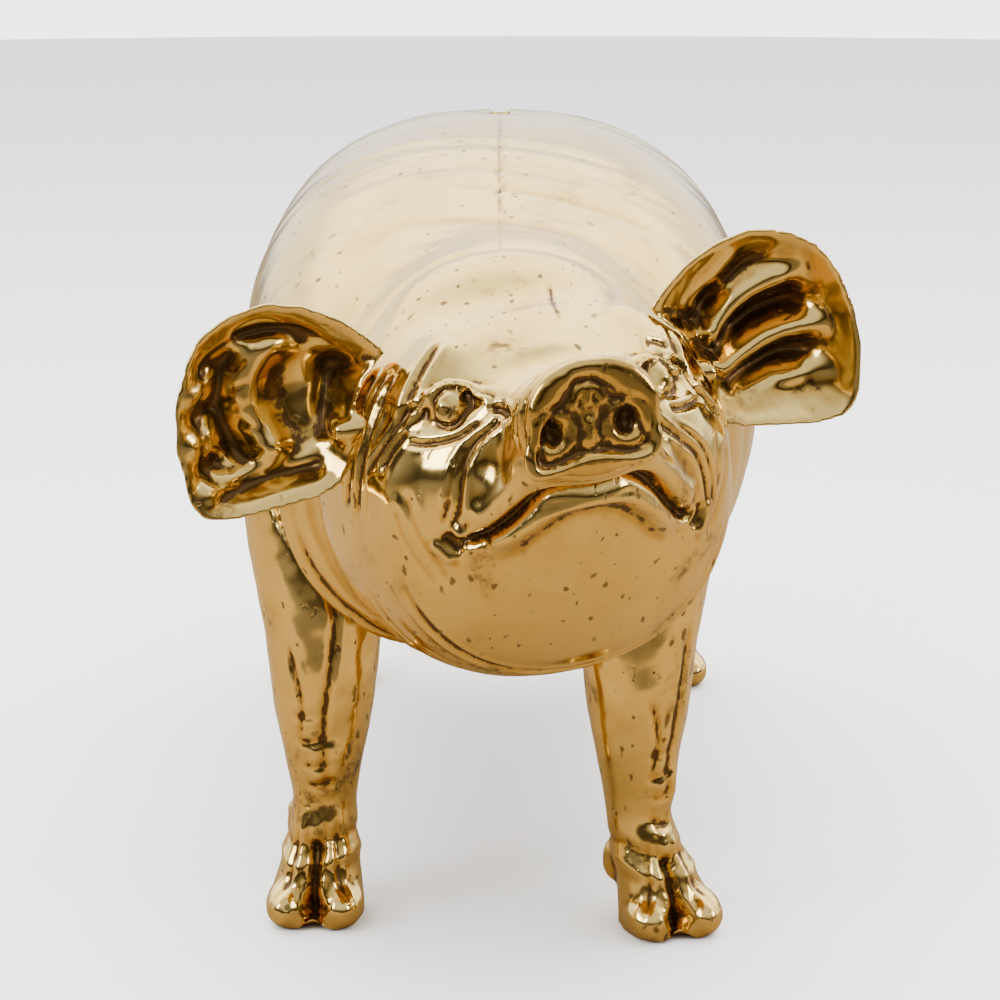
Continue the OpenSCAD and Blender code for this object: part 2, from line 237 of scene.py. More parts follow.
class Clay:
    """A casting's pattern while it is being modelled."""

    def __init__(self, name: str, own: OwnFrame) -> None:
        """Starts an empty pattern.

        Args:
            name: The finished piece's name.
            own: The frame that its strokes are given in.
        """
        self.name = name
        self.own = own
        self.bm = bmesh.new()
        self.mesh = bpy.data.meshes.new(name)
        self.points = np.zeros((0, 3))
        self.stain = np.zeros(0)
        self.edges = np.zeros((0, 2), int)
        self.degree = np.zeros(0)

    def add_solid(self, node: str) -> None:
        """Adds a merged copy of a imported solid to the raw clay.

        Args:
            node: The solid's name.
        """
        self.bm.from_mesh(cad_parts[node].data)
        bmesh.ops.remove_doubles(self.bm, verts=self.bm.verts, dist=2e-6)

    def drop_joint_faces(self, x: float) -> None:
        """Takes away the faces where two shells meet on a plane.

        Args:
            x: The plane's place across the bank, in metres.
        """
        meeting = [
            face
            for face in self.bm.faces
            if all(abs(vert.co.x - x) < 1e-5 for vert in face.verts)
        ]
        bmesh.ops.delete(self.bm, geom=meeting, context="FACES_ONLY")
        bmesh.ops.remove_doubles(self.bm, verts=self.bm.verts, dist=2e-5)

    def add_ball(self, centre: Point, radii: Point, spin: float = 0.0) -> None:
        """Presses a ball or drop of clay on.

        Args:
            centre: Its centre in own millimetres.
            radii: Its three half sizes in millimetres.
            spin: Degrees that it is turned about the upright axis.
        """
        made = bmesh.ops.create_uvsphere(self.bm, u_segments=24, v_segments=16, radius=1.0)
        place = Matrix.Translation(Vector(self.own.place(np.array([centre]))[0]))
        shape = Matrix.Diagonal(Vector((*[r * MM for r in radii], 1.0)))
        turn = Matrix.Rotation(math.radians(spin), 4, "Z")
        bmesh.ops.transform(self.bm, matrix=place @ turn @ shape, verts=made["verts"])

    def add_bead(
        self, line: Line, radius: float, closed: bool = False, taper: float = 0.0
    ) -> None:
        """Lays a rolled bead of clay along a line.

        Args:
            line: The line in own millimetres.
            radius: The bead's radius in millimetres.
            closed: Whether the bead comes back to its start.
            taper: Share of the radius lost towards both ends.
        """
        path = self.own.place(flowing(np.array(line), closed))
        if closed:
            path = path[:-1]
        curve = bpy.data.curves.new("bead", "CURVE")
        curve.dimensions = "3D"
        curve.bevel_depth = radius * MM
        curve.bevel_resolution = 4
        curve.use_fill_caps = True
        spline = curve.splines.new("POLY")
        spline.points.add(len(path) - 1)
        last = len(path) - 1
        for i, (point, place) in enumerate(zip(spline.points, path)):
            point.co = (*place, 1.0)
            point.radius = 1.0 - taper * abs(2.0 * i / last - 1.0) ** 2
        spline.use_cyclic_u = closed
        holder = bpy.data.objects.new("bead", curve)
        bpy.context.scene.collection.objects.link(holder)
        rolled = worked_mesh(holder)
        self.bm.from_mesh(rolled)
        bpy.data.objects.remove(holder)
        bpy.data.curves.remove(curve)
        bpy.data.meshes.remove(rolled)

    def remesh(self, grain: float) -> None:
        """Turns everything added so far into one skin of even clay.

        Args:
            grain: The size of the skin's squares, in millimetres.
        """
        raw = bpy.data.meshes.new("raw")
        self.bm.to_mesh(raw)
        work = bpy.data.objects.new("raw", raw)
        bpy.context.scene.collection.objects.link(work)
        skin = work.modifiers.new("skin", "REMESH")
        skin.mode = "VOXEL"
        skin.voxel_size = grain * MM
        bpy.data.meshes.remove(self.mesh)
        self.mesh = worked_mesh(work)
        bpy.data.objects.remove(work)
        bpy.data.meshes.remove(raw)
        self.bm.clear()
        self._read()

    def _read(self) -> None:
        """Reads the skin's points and edges for the tools below."""
        count = len(self.mesh.vertices)
        flat = np.zeros(count * 3)
        self.mesh.vertices.foreach_get("co", flat)
        self.points = flat.reshape(-1, 3)
        pairs = np.zeros(len(self.mesh.edges) * 2, int)
        self.mesh.edges.foreach_get("vertices", pairs)
        self.edges = pairs.reshape(-1, 2)
        self.degree = np.maximum(np.bincount(self.edges.ravel(), minlength=count), 1)
        self.stain = np.zeros(count)

    def normals(self) -> np.ndarray:
        """Gives the outward direction at every point of the skin."""
        self.mesh.vertices.foreach_set("co", self.points.ravel())
        self.mesh.update()
        flat = np.zeros(len(self.points) * 3)
        self.mesh.vertex_normals.foreach_get("vector", flat)
        return flat.reshape(-1, 3)

    def _mean(self, values: np.ndarray) -> np.ndarray:
        """Gives each point the average of its neighbours' values.

        Args:
            values: One number for each point of the skin.

        Returns:
            The averages.
        """
        a, b = self.edges[:, 0], self.edges[:, 1]
        count = len(self.points)
        total = np.bincount(a, values[b], count) + np.bincount(b, values[a], count)
        return total / self.degree

    def relax(self, times: int, keep: np.ndarray | None = None) -> None:
        """Smooths the skin with the thumb.

        Args:
            times: Number of passes.
            keep: Share of the smoothing that each point takes, all of it if left out.
        """
        share = 0.5 if keep is None else 0.5 * keep[:, None]
        for _ in range(times):
            mean = np.stack([self._mean(self.points[:, k]) for k in range(3)], axis=1)
            step = mean - self.points
            self.points = self.points + step * share

    def push_back(self) -> None:
        """Puts the worked skin back into the raw clay so that more can be added."""
        self.normals()
        self.bm.from_mesh(self.mesh)

    def _near(self, path: np.ndarray, reach: float) -> tuple[np.ndarray, np.ndarray, np.ndarray]:
        """Finds the points near a path.

        Args:
            path: The path in metres.
            reach: How far from it still counts, in metres.

        Returns:
            Which points are near, their distances, and how far along each one is.
        """
        low, high = path.min(axis=0) - reach, path.max(axis=0) + reach
        near = np.where(((self.points > low) & (self.points < high)).all(axis=1))[0]
        best = np.full(len(near), 1e9)
        along = np.zeros(len(near))
        places = self.points[near]
        if len(path) == 1:
            return near, np.linalg.norm(places - path[0], axis=1), along + 0.5
        for i in range(len(path) - 1):
            a, ab = path[i], path[i + 1] - path[i]
            t = np.clip(((places - a) @ ab) / max(ab @ ab, 1e-12), 0, 1)
            gap = np.linalg.norm(places - (a + t[:, None] * ab), axis=1)
            closer = gap < best
            best[closer] = gap[closer]
            along[closer] = (i + t[closer]) / (len(path) - 1)
        return near, best, along

    def work(self, strokes: list[Stroke], along: np.ndarray | None = None) -> None:
        """Makes a set of strokes on the skin.

        Args:
            strokes: The strokes, made in order from the same starting skin.
            along: One direction for every point, in the own frame, in place of the skin's own.
        """
        normals = self.normals()
        if along is not None:
            normals = np.repeat(self.own.turn(np.array([along])), len(self.points), axis=0)
        self.bm.from_mesh(self.mesh)
        tree = BVHTree.FromBMesh(self.bm)
        self.bm.clear()
        rise = np.zeros(len(self.points))
        for stroke in strokes:
            path = self.own.place(flowing(np.array(stroke.line, float), stroke.closed))
            path = np.array([tree.find_nearest(Vector(p))[0][:] for p in path])
            near, gap, part = self._near(path, stroke.width * MM * 4)
            ratio = gap / (stroke.width * MM)
            shape = np.exp(-(ratio**2))
            if stroke.lip:
                shape = shape - stroke.lip * np.exp(-((ratio - 2.0) ** 2) * 1.6)
            if len(path) > 1 and not stroke.closed and stroke.fade:
                ends = np.clip(np.minimum(part, 1 - part) / stroke.fade, 0, 1)
                shape = shape * ends * ends * (3 - 2 * ends)
                left = np.exp(-((ratio / 0.68) ** 2)) * ends
            else:
                left = np.exp(-((ratio / 0.68) ** 2))
            rise[near] += shape * stroke.height * MM
            self.stain[near] = np.maximum(self.stain[near], left * stroke.stain)
        self.points = self.points + normals * rise[:, None]

    def press(self, centre: Point, reach: float, move: Point) -> None:
        """Presses the clay one way around a point.

        Args:
            centre: The point in own millimetres.
            reach: How wide the press is, in millimetres.
            move: How far it goes, in own millimetres.
        """
        place = self.own.place(np.array([centre]))[0]
        way = self.own.turn(np.array([move]))[0] * MM
        gap = np.linalg.norm(self.points - place, axis=1) / (reach * MM)
        self.points = self.points + np.exp(-(gap**2))[:, None] * way

    def ripple(self, size: float, height: float, seed: float = 0.0) -> None:
        """Leaves the soft unevenness of a hand-finished casting.

        Args:
            size: The distance between swells, in millimetres.
            height: Their height in millimetres.
            seed: Moves the pattern.
        """
        normals = self.normals()
        swell = np.zeros(len(self.points))
        ways = (
            (1.0, 0.3, 0.5),
            (-0.4, 1.0, 0.6),
            (0.7, -0.6, 0.9),
            (-0.8, -0.5, 0.4),
            (0.2, 0.9, -0.8),
            (0.5, -0.2, -1.1),
            (1.3, 1.1, 0.2),
        )
        for i, way in enumerate(ways):
            phase = self.points @ np.array(way) * (2 * math.pi / (size * MM))
            sway = 1.3 * np.sin(phase * 0.37 + i)
            swell += np.sin(phase * (1 + 0.13 * i) + 1.7 * i + seed + sway)
        self.points = self.points + normals * (swell / len(ways) * height * MM)[:, None]

    def cavity(self, depth: float, passes: int) -> np.ndarray:
        """Measures how hollow the skin is at each point.

        Args:
            depth: The hollow, in millimetres, that counts as a full fold.
            passes: How widely it is measured.

        Returns:
            Values from 0, open, to 1, deep in a fold.
        """
        normals = self.normals()
        wide = self.points.copy()
        for _ in range(passes):
            wide = np.stack([self._mean(wide[:, k]) for k in range(3)], axis=1)
        hollow = ((wide - self.points) * normals).sum(axis=1)
        return np.clip(hollow / (depth * MM), 0, 1)

    def cast(self, kept: float = 1.0) -> bpy.types.Object:
        """Casts the clay as a finished piece with its patina stored on it.

        Args:
            kept: Share of its faces that is kept, all thinning being on hidden inner walls.

        Returns:
            The piece's object.
        """
        hollows = 0.6 * self.cavity(0.6, 14) + 0.7 * self.cavity(0.14, 4)
        self.stain = np.clip(np.maximum(0.85 * self.stain, hollows), 0, 1)
        self.normals()
        self.mesh.name = self.name
        store = self.mesh.attributes.new("patina", "FLOAT", "POINT")
        store.data.foreach_set("value", self.stain.astype(np.float32))
        self.mesh.shade_smooth()
        piece = bpy.data.objects.new(self.name, self.mesh)
        bpy.context.scene.collection.objects.link(piece)
        self.bm.free()
        if kept < 1.0:
            self.thin_inside(piece, kept)
        return piece

    @staticmethod
    def thin_inside(piece: bpy.types.Object, kept: float) -> None:
        """Leaves fewer faces on the walls that look at each other across a hollow.

        Args:
            piece: The cast piece.
            kept: Share of its faces to keep.
        """
        skin = piece.data
        rows = bmesh.new()
        rows.from_mesh(skin)
        tree = BVHTree.FromBMesh(rows)
        rows.free()
        inner = []
        for vert in skin.vertices:
            gap = tree.ray_cast(vert.co + vert.normal * 0.2 * MM, vert.normal, 150 * MM)[3]
            if gap is not None and gap > 9 * MM:
                inner.append(vert.index)
        group = piece.vertex_groups.new(name="inside")
        group.add(inner, 1.0, "REPLACE")
        thin = piece.modifiers.new("thin", "DECIMATE")
        thin.ratio = kept
        thin.vertex_group = group.name
        done = worked_mesh(piece)
        piece.modifiers.clear()
        piece.vertex_groups.clear()
        piece.data = done
        bpy.data.meshes.remove(skin)
        done.name = piece.name
        LOG.info("%s: %d inner points thinned, %d faces left", piece.name, len(inner), len(done.polygons))


# --------------------------------------------------------------------------
# Finishes
# --------------------------------------------------------------------------


class Wiring:
    """Adds nodes to one node tree and joins them."""

    def __init__(self, tree: bpy.types.NodeTree) -> None:
        """Takes the tree to wire.

        Args:
            tree: The node tree.
        """
        self.tree = tree

    def node(self, kind: str, inputs: dict | None = None, **settings: object) -> bpy.types.Node:
        """Adds a node.

        Args:
            kind: The node's type.
            inputs: Values or sockets for its inputs, by name or number.
            **settings: The node's own settings.

        Returns:
            The node.
        """
        made = self.tree.nodes.new(kind)
        for name, value in settings.items():
            setattr(made, name, value)
        for key, value in (inputs or {}).items():
            if isinstance(value, bpy.types.NodeSocket):
                self.tree.links.new(value, made.inputs[key])
            else:
                made.inputs[key].default_value = value
        return made

    def math(
        self, operation: str, a: object, b: object = 0.0, clamp: bool = False
    ) -> bpy.types.NodeSocket:
        """Adds a sum of two values.

        Args:
            operation: What is done with them.
            a: The first value or socket.
            b: The second value or socket.
            clamp: Whether the answer stays between 0 and 1.

        Returns:
            The answer's socket.
        """
        made = self.node("ShaderNodeMath", {0: a, 1: b}, operation=operation, use_clamp=clamp)
        return made.outputs[0]

    def ramp(
        self, value: object, low: float, high: float, to: tuple[float, float] = (0.0, 1.0)
    ) -> bpy.types.NodeSocket:
        """Spreads a value smoothly between two limits.

        Args:
            value: The value or socket.
            low: Where it starts.
            high: Where it ends.
            to: What the start and end become.

        Returns:
            The answer's socket.
        """
        made = self.node(
            "ShaderNodeMapRange",
            {"Value": value, "From Min": low, "From Max": high, "To Min": to[0], "To Max": to[1]},
            interpolation_type="SMOOTHSTEP",
        )
        return made.outputs[0]

    def vector(self, operation: str, a: object, b: object) -> bpy.types.NodeSocket:
        """Adds a sum of two vectors.

        Args:
            operation: What is done with them.
            a: The first vector or socket.
            b: The second vector or socket.

        Returns:
            The answer's socket.
        """
        made = self.node("ShaderNodeVectorMath", {0: a, 1: b}, operation=operation)
        return made.outputs[0]

    def mix(self, share: object, a: object, b: object) -> bpy.types.NodeSocket:
        """Mixes two colours.

        Args:
            share: The share of the second colour.
            a: The first colour.
            b: The second colour.

        Returns:
            The mixed colour's socket.
        """
        made = self.node("ShaderNodeMix", {0: share, 6: a, 7: b}, data_type="RGBA")
        return made.outputs[2]


class SharedEffects:
    """The node groups that several finishes use, each built once."""

    @staticmethod
    def _group(
        name: str, takes: dict[str, tuple[str, object]], gives: list[str]
    ) -> tuple[bpy.types.NodeTree, Wiring, bpy.types.Node, bpy.types.Node]:
        """Starts a group with its sockets.

        Args:
            name: The group's name.
            takes: Its inputs, each with a socket type and a starting value.
            gives: Its outputs, all plain values.

        Returns:
            The group, its wiring, its input node and its output node.
        """
        group = bpy.data.node_groups.new(name, "ShaderNodeTree")
        for socket_name, (kind, value) in takes.items():
            socket = group.interface.new_socket(socket_name, in_out="INPUT", socket_type=kind)
            socket.default_value = value
        for socket_name in gives:
            group.interface.new_socket(socket_name, in_out="OUTPUT", socket_type="NodeSocketFloat")
        wires = Wiring(group)
        return group, wires, wires.node("NodeGroupInput"), wires.node("NodeGroupOutput")

    def pitting(self) -> bpy.types.NodeTree:
        """Makes the scattered pits that sand leaves in a casting."""
        group, wires, given, out = self._group(
            "casting_pits",
            {"Size": ("NodeSocketFloat", 600.0), "Share": ("NodeSocketFloat", 0.5)},
            ["Pits"],
        )
        place = wires.node("ShaderNodeTexCoord").outputs["Object"]
        drawn = wires.vector("MULTIPLY", place, (1.0, 1.0, 0.5))
        bent = wires.node("ShaderNodeTexNoise", {"Vector": place, "Scale": 260.0}).outputs["Color"]
        drawn = wires.vector("ADD", drawn, wires.vector("MULTIPLY", bent, (0.0035, 0.0035, 0.0035)))
        cells = wires.node("ShaderNodeTexVoronoi", {"Vector": drawn, "Scale": given.outputs["Size"]})
        kind = wires.node("ShaderNodeSeparateColor", {0: cells.outputs["Color"]})
        size = wires.ramp(kind.outputs[1], 0.0, 1.0, (0.55, 2.2))
        spread = wires.math("MULTIPLY", cells.outputs["Distance"], size)
        dots = wires.ramp(spread, 0.12, 0.22, (1.0, 0.0))
        patches = wires.node(
            "ShaderNodeTexNoise",
            {"Vector": place, "Scale": wires.math("MULTIPLY", given.outputs["Size"], 0.09), "Detail": 2.0},
        )
        bare = wires.math("SUBTRACT", 0.9, given.outputs["Share"])
        level = wires.math("SUBTRACT", patches.outputs[0], bare)
        some = wires.ramp(wires.math("ADD", level, wires.math("MULTIPLY", kind.outputs[0], 0.35)), 0.15, 0.3)
        self._give(group, out, "Pits", wires.math("MULTIPLY", dots, some))
        return group

    def brushing(self) -> bpy.types.NodeTree:
        """Makes the fine lines left by the polishing wheel."""
        group, wires, given, out = self._group(
            "polishing_lines",
            {"Pull": ("NodeSocketVector", (20.0, 1500.0, 20.0))},
            ["Lines", "Sheen"],
        )
        place = wires.node("ShaderNodeTexCoord").outputs["Object"]
        drawn = wires.vector("MULTIPLY", place, given.outputs["Pull"])
        fine = wires.node(
            "ShaderNodeTexNoise", {"Vector": drawn, "Scale": 1.0, "Detail": 4.0, "Roughness": 0.7}
        )
        broad = wires.node("ShaderNodeTexNoise", {"Vector": place, "Scale": 38.0, "Detail": 3.0})
        self._give(group, out, "Lines", fine.outputs[0])
        self._give(group, out, "Sheen", wires.ramp(broad.outputs[0], 0.35, 0.68))
        return group

    def tarnish(self) -> bpy.types.NodeTree:
        """Makes the dark patina that stays in folds and in thin clouds."""
        group, wires, given, out = self._group(
            "tarnish",
            {
                "Fold": ("NodeSocketFloat", 0.0),
                "Reach": ("NodeSocketFloat", 0.5),
                "Clouds": ("NodeSocketFloat", 0.3),
            },
            ["Dark", "Warm"],
        )
        place = wires.node("ShaderNodeTexCoord").outputs["Object"]
        grain = wires.node(
            "ShaderNodeTexNoise", {"Vector": place, "Scale": 420.0, "Detail": 5.0, "Roughness": 0.65}
        )
        wide = wires.node(
            "ShaderNodeTexNoise", {"Vector": place, "Scale": 60.0, "Detail": 4.0, "Distortion": 0.6}
        )
        broken = wires.math("MULTIPLY", wires.math("SUBTRACT", grain.outputs[0], 0.5), 2.4)
        base = wires.math("ADD", given.outputs["Fold"], wires.math("MULTIPLY", broken, given.outputs["Fold"]))
        spread = wires.math("SUBTRACT", given.outputs["Reach"], 0.5)
        deep = wires.ramp(wires.math("ADD", base, spread), 0.48, 0.80)
        cloud = wires.math("MULTIPLY", wires.ramp(wide.outputs[0], 0.56, 0.72), given.outputs["Clouds"])
        flecks = wires.math("MULTIPLY", cloud, wires.ramp(grain.outputs[0], 0.42, 0.62))
        self._give(group, out, "Dark", wires.math("MAXIMUM", deep, flecks, clamp=True))
        thin = wires.math("ADD", wires.math("MULTIPLY", wide.outputs[0], 0.7), given.outputs["Fold"])
        self._give(group, out, "Warm", wires.ramp(thin, 0.2, 0.75))
        return group

    @staticmethod
    def _give(
        group: bpy.types.NodeTree, out: bpy.types.Node, name: str, socket: bpy.types.NodeSocket
    ) -> None:
        """Joins a socket to one of the group's outputs."""
        group.links.new(socket, out.inputs[name])

    def __init__(self) -> None:
        """Builds the groups."""
        self.pits = self.pitting()
        self.lines = self.brushing()
        self.patina = self.tarnish()


@dataclass(frozen=True)
class CastBrass:
    """Polished brass casting with patina in its folds.

    Args:
        name: The material's name.
        bright: The colour of the polished metal.
        warm: Its colour where the polish is thinner.
        dark: The colour of the patina.
        roughness: Roughness of the polished metal.
        reach: How far the patina spreads out of the folds.
        clouds: How much patina lies in thin clouds.
        pull: How the polishing lines run, as their closeness along x, y and z.
        pit_size: Closeness of the casting pits.
        pit_share: Share of the surface with pits.
    """

    name: str
    bright: Point = (0.86, 0.62, 0.20)
    warm: Point = (0.62, 0.38, 0.085)
    dark: Point = (0.085, 0.045, 0.014)
    roughness: float = 0.10
    reach: float = 0.5
    clouds: float = 0.35
    pull: Point = (30.0, 1700.0, 30.0)
    pit_size: float = 420.0
    pit_share: float = 0.26

    def make(self, effects: SharedEffects) -> bpy.types.Material:
        """Builds the material.

        Args:
            effects: The shared node groups.

        Returns:
            The material.
        """
        material = bpy.data.materials.new(self.name)
        material.use_nodes = True
        tree = material.node_tree
        shader = tree.nodes["Principled BSDF"]
        wires = Wiring(tree)
        fold = wires.node("ShaderNodeAttribute", attribute_name="patina").outputs["Fac"]
        tarnish = wires.node("ShaderNodeGroup", node_tree=effects.patina)
        tree.links.new(fold, tarnish.inputs["Fold"])
        tarnish.inputs["Reach"].default_value = self.reach
        tarnish.inputs["Clouds"].default_value = self.clouds
        lines = wires.node("ShaderNodeGroup", node_tree=effects.lines)
        lines.inputs["Pull"].default_value = self.pull
        pits = wires.node("ShaderNodeGroup", node_tree=effects.pits)
        pits.inputs["Size"].default_value = self.pit_size
        pits.inputs["Share"].default_value = self.pit_share
        metal = wires.mix(tarnish.outputs["Warm"], (*self.bright, 1), (*self.warm, 1))
        filled_pits = wires.math("MULTIPLY", pits.outputs["Pits"], 0.85)
        soiled = wires.math("MAXIMUM", tarnish.outputs["Dark"], filled_pits)
        tree.links.new(wires.mix(soiled, metal, (*self.dark, 1)), shader.inputs["Base Color"])
        shine = wires.math("ADD", self.roughness, wires.math("MULTIPLY", lines.outputs["Sheen"], 0.06))
        uneven = wires.math("SUBTRACT", lines.outputs["Lines"], 0.5)
        shine = wires.math("ADD", shine, wires.math("MULTIPLY", uneven, 0.12))
        rough = wires.math("ADD", shine, wires.math("MULTIPLY", soiled, 0.16))
        tree.links.new(rough, shader.inputs["Roughness"])
        bare_metal = wires.math("SUBTRACT", 1.0, wires.math("MULTIPLY", soiled, 0.12))
        tree.links.new(bare_metal, shader.inputs["Metallic"])
        marks = wires.math("MULTIPLY", lines.outputs["Lines"], 0.035)
        height = wires.math("SUBTRACT", marks, wires.math("MULTIPLY", pits.outputs["Pits"], 0.5))
        bump = wires.node("ShaderNodeBump", {"Height": height, "Strength": 0.35, "Distance": 0.0004})
        tree.links.new(bump.outputs[0], shader.inputs["Normal"])
        return material


@dataclass(frozen=True)
class TurnedMetal:
    """Bright metal turned on a lathe, for the screws and the trap.

    Args:
        name: The material's name.
        colour: The metal's colour.
        roughness: Its roughness.
        pull: How the tool marks run.
    """

    name: str
    colour: Point
    roughness: float = 0.2
    pull: Point = (60.0, 60.0, 2600.0)

    def make(self, effects: SharedEffects) -> bpy.types.Material:
        """Builds the material.

        Args:
            effects: The shared node groups.

        Returns:
            The material.
        """
        material = bpy.data.materials.new(self.name)
        material.use_nodes = True
        tree = material.node_tree
        shader = tree.nodes["Principled BSDF"]
        shader.inputs["Metallic"].default_value = 1.0
        wires = Wiring(tree)
        lines = wires.node("ShaderNodeGroup", node_tree=effects.lines)
        lines.inputs["Pull"].default_value = self.pull
        tarnish = wires.node("ShaderNodeGroup", node_tree=effects.patina)
        tarnish.inputs["Clouds"].default_value = 0.6
        shade = tuple(c * 0.45 for c in self.colour)
        metal = wires.mix(tarnish.outputs["Dark"], (*self.colour, 1), (*shade, 1))
        tree.links.new(metal, shader.inputs["Base Color"])
        rough = wires.math("ADD", self.roughness, wires.math("MULTIPLY", lines.outputs["Sheen"], 0.12))
        tree.links.new(rough, shader.inputs["Roughness"])
        marks = lines.outputs["Lines"]
        bump = wires.node("ShaderNodeBump", {"Height": marks, "Strength": 0.3, "Distance": 0.00015})
        tree.links.new(bump.outputs[0], shader.inputs["Normal"])
        return material


@dataclass(frozen=True)
class WaxedLeather:
    """Brown leather for the trap's washer.

    Args:
        name: The material's name.
        colour: The leather's colour.
    """

    name: str
    colour: Point = (0.16, 0.075, 0.03)

    def make(self, effects: SharedEffects) -> bpy.types.Material:
        """Builds the material.

        Args:
            effects: The shared node groups.

        Returns:
            The material.
        """
        material = bpy.data.materials.new(self.name)
        material.use_nodes = True
        tree = material.node_tree
        shader = tree.nodes["Principled BSDF"]
        shader.inputs["Roughness"].default_value = 0.62
        wires = Wiring(tree)
        pits = wires.node("ShaderNodeGroup", node_tree=effects.pits)
        pits.inputs["Size"].default_value = 1100.0
        pits.inputs["Share"].default_value = 0.8
        shade = tuple(c * 0.4 for c in self.colour)
        hide = wires.mix(pits.outputs["Pits"], (*self.colour, 1), (*shade, 1))
        tree.links.new(hide, shader.inputs["Base Color"])
        height = wires.math("SUBTRACT", 1.0, pits.outputs["Pits"])
        bump = wires.node("ShaderNodeBump", {"Height": height, "Strength": 0.6, "Distance": 0.0003})
        tree.links.new(bump.outputs[0], shader.inputs["Normal"])
        return material


@dataclass(frozen=True)
class PalePaper:
    """The studio's pale floor.

    Args:
        name: The material's name.
        colour: Its colour.
        shaded: Painted shade, the dark warm colour that reflections in the polished metal see in place of the
            floor's own, standing in for a floor in half light.
        unlit: Darker painted shade that the reflections see ahead of the bank.
        light_ends: How far ahead the painted shade starts and ends darkening, in metres.
    """

    name: str
    colour: Point = (0.92, 0.92, 0.92)
    shaded: Point = (0.215, 0.152, 0.078)
    unlit: Point = (0.05, 0.04, 0.03)
    light_ends: tuple[float, float] = (0.25, 0.37)

    def make(self) -> bpy.types.Material:
        """Builds the material.

        Returns:
            The material.
        """
        material = bpy.data.materials.new(self.name)
        material.use_nodes = True
        tree = material.node_tree
        shader = tree.nodes["Principled BSDF"]
        shader.inputs["Roughness"].default_value = 0.9
        wires = Wiring(tree)
        # Painted shade for reflections only: glossy rays see a dark warm floor, darker still ahead of the
        # bank, while the camera sees it pale.
        mirrored_in_metal = wires.node("ShaderNodeLightPath").outputs["Is Glossy Ray"]
        place = wires.node("ShaderNodeSeparateXYZ", {0: wires.node("ShaderNodeTexCoord").outputs["Object"]})
        start, end = self.light_ends
        lit = wires.ramp(place.outputs["Y"], -end, -start)
        half_light = wires.mix(lit, (*self.unlit, 1), (*self.shaded, 1))
        paper = wires.mix(mirrored_in_metal, (*self.colour, 1), half_light)
        tree.links.new(paper, shader.inputs["Base Color"])
        return material


class Finishes:
    """All the finishes of the bank, made once."""

    def __init__(self) -> None:
        """Makes the materials."""
        effects = SharedEffects()
        self.body = CastBrass("body_brass", clouds=0.5, pit_share=0.36).make(effects)
        pitted = {"reach": 0.52, "pit_size": 430.0, "pit_share": 0.5}
        self.head = CastBrass(
            "head_brass", pull=(700.0, 80.0, 60.0), clouds=0.85, **pitted
        ).make(effects)
        self.ears = CastBrass(
            "ear_brass", pull=(60.0, 60.0, 900.0), reach=0.65, clouds=0.8, roughness=0.11
        ).make(effects)
        self.legs = CastBrass(
            "leg_brass", pull=(500.0, 500.0, 30.0), clouds=0.9, **pitted
        ).make(effects)
        self.screws = TurnedMetal("screw_brass", (0.72, 0.52, 0.25)).make(effects)
        self.trap = TurnedMetal("trap_brass", (0.78, 0.58, 0.30), pull=(900.0, 900.0, 60.0)).make(effects)
        self.steel = TurnedMetal("pin_steel", (0.55, 0.55, 0.56)).make(effects)
        self.leather = WaxedLeather("washer_leather").make(effects)


def finish_piece(piece: bpy.types.Object, material: bpy.types.Material, slot: str, *nodes: str) -> None:
    """Dresses a piece, lets it ride on the bank and stands it for its solids.

    Args:
        piece: The piece.
        material: Its finish.
        slot: The record's slot for that finish; not used.
        *nodes: The solids that it stands for.
    """
    piece.data.materials.clear()
    piece.data.materials.append(material)
    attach(piece, Body.BANK.value)
    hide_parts(*nodes)
    piece.data.calc_loop_triangles()
    triangles = len(piece.data.loop_triangles)
    LOG.info("%s: %d triangles, stands for %s", piece.name, triangles, ", ".join(nodes))


# --------------------------------------------------------------------------
# The pig
# --------------------------------------------------------------------------


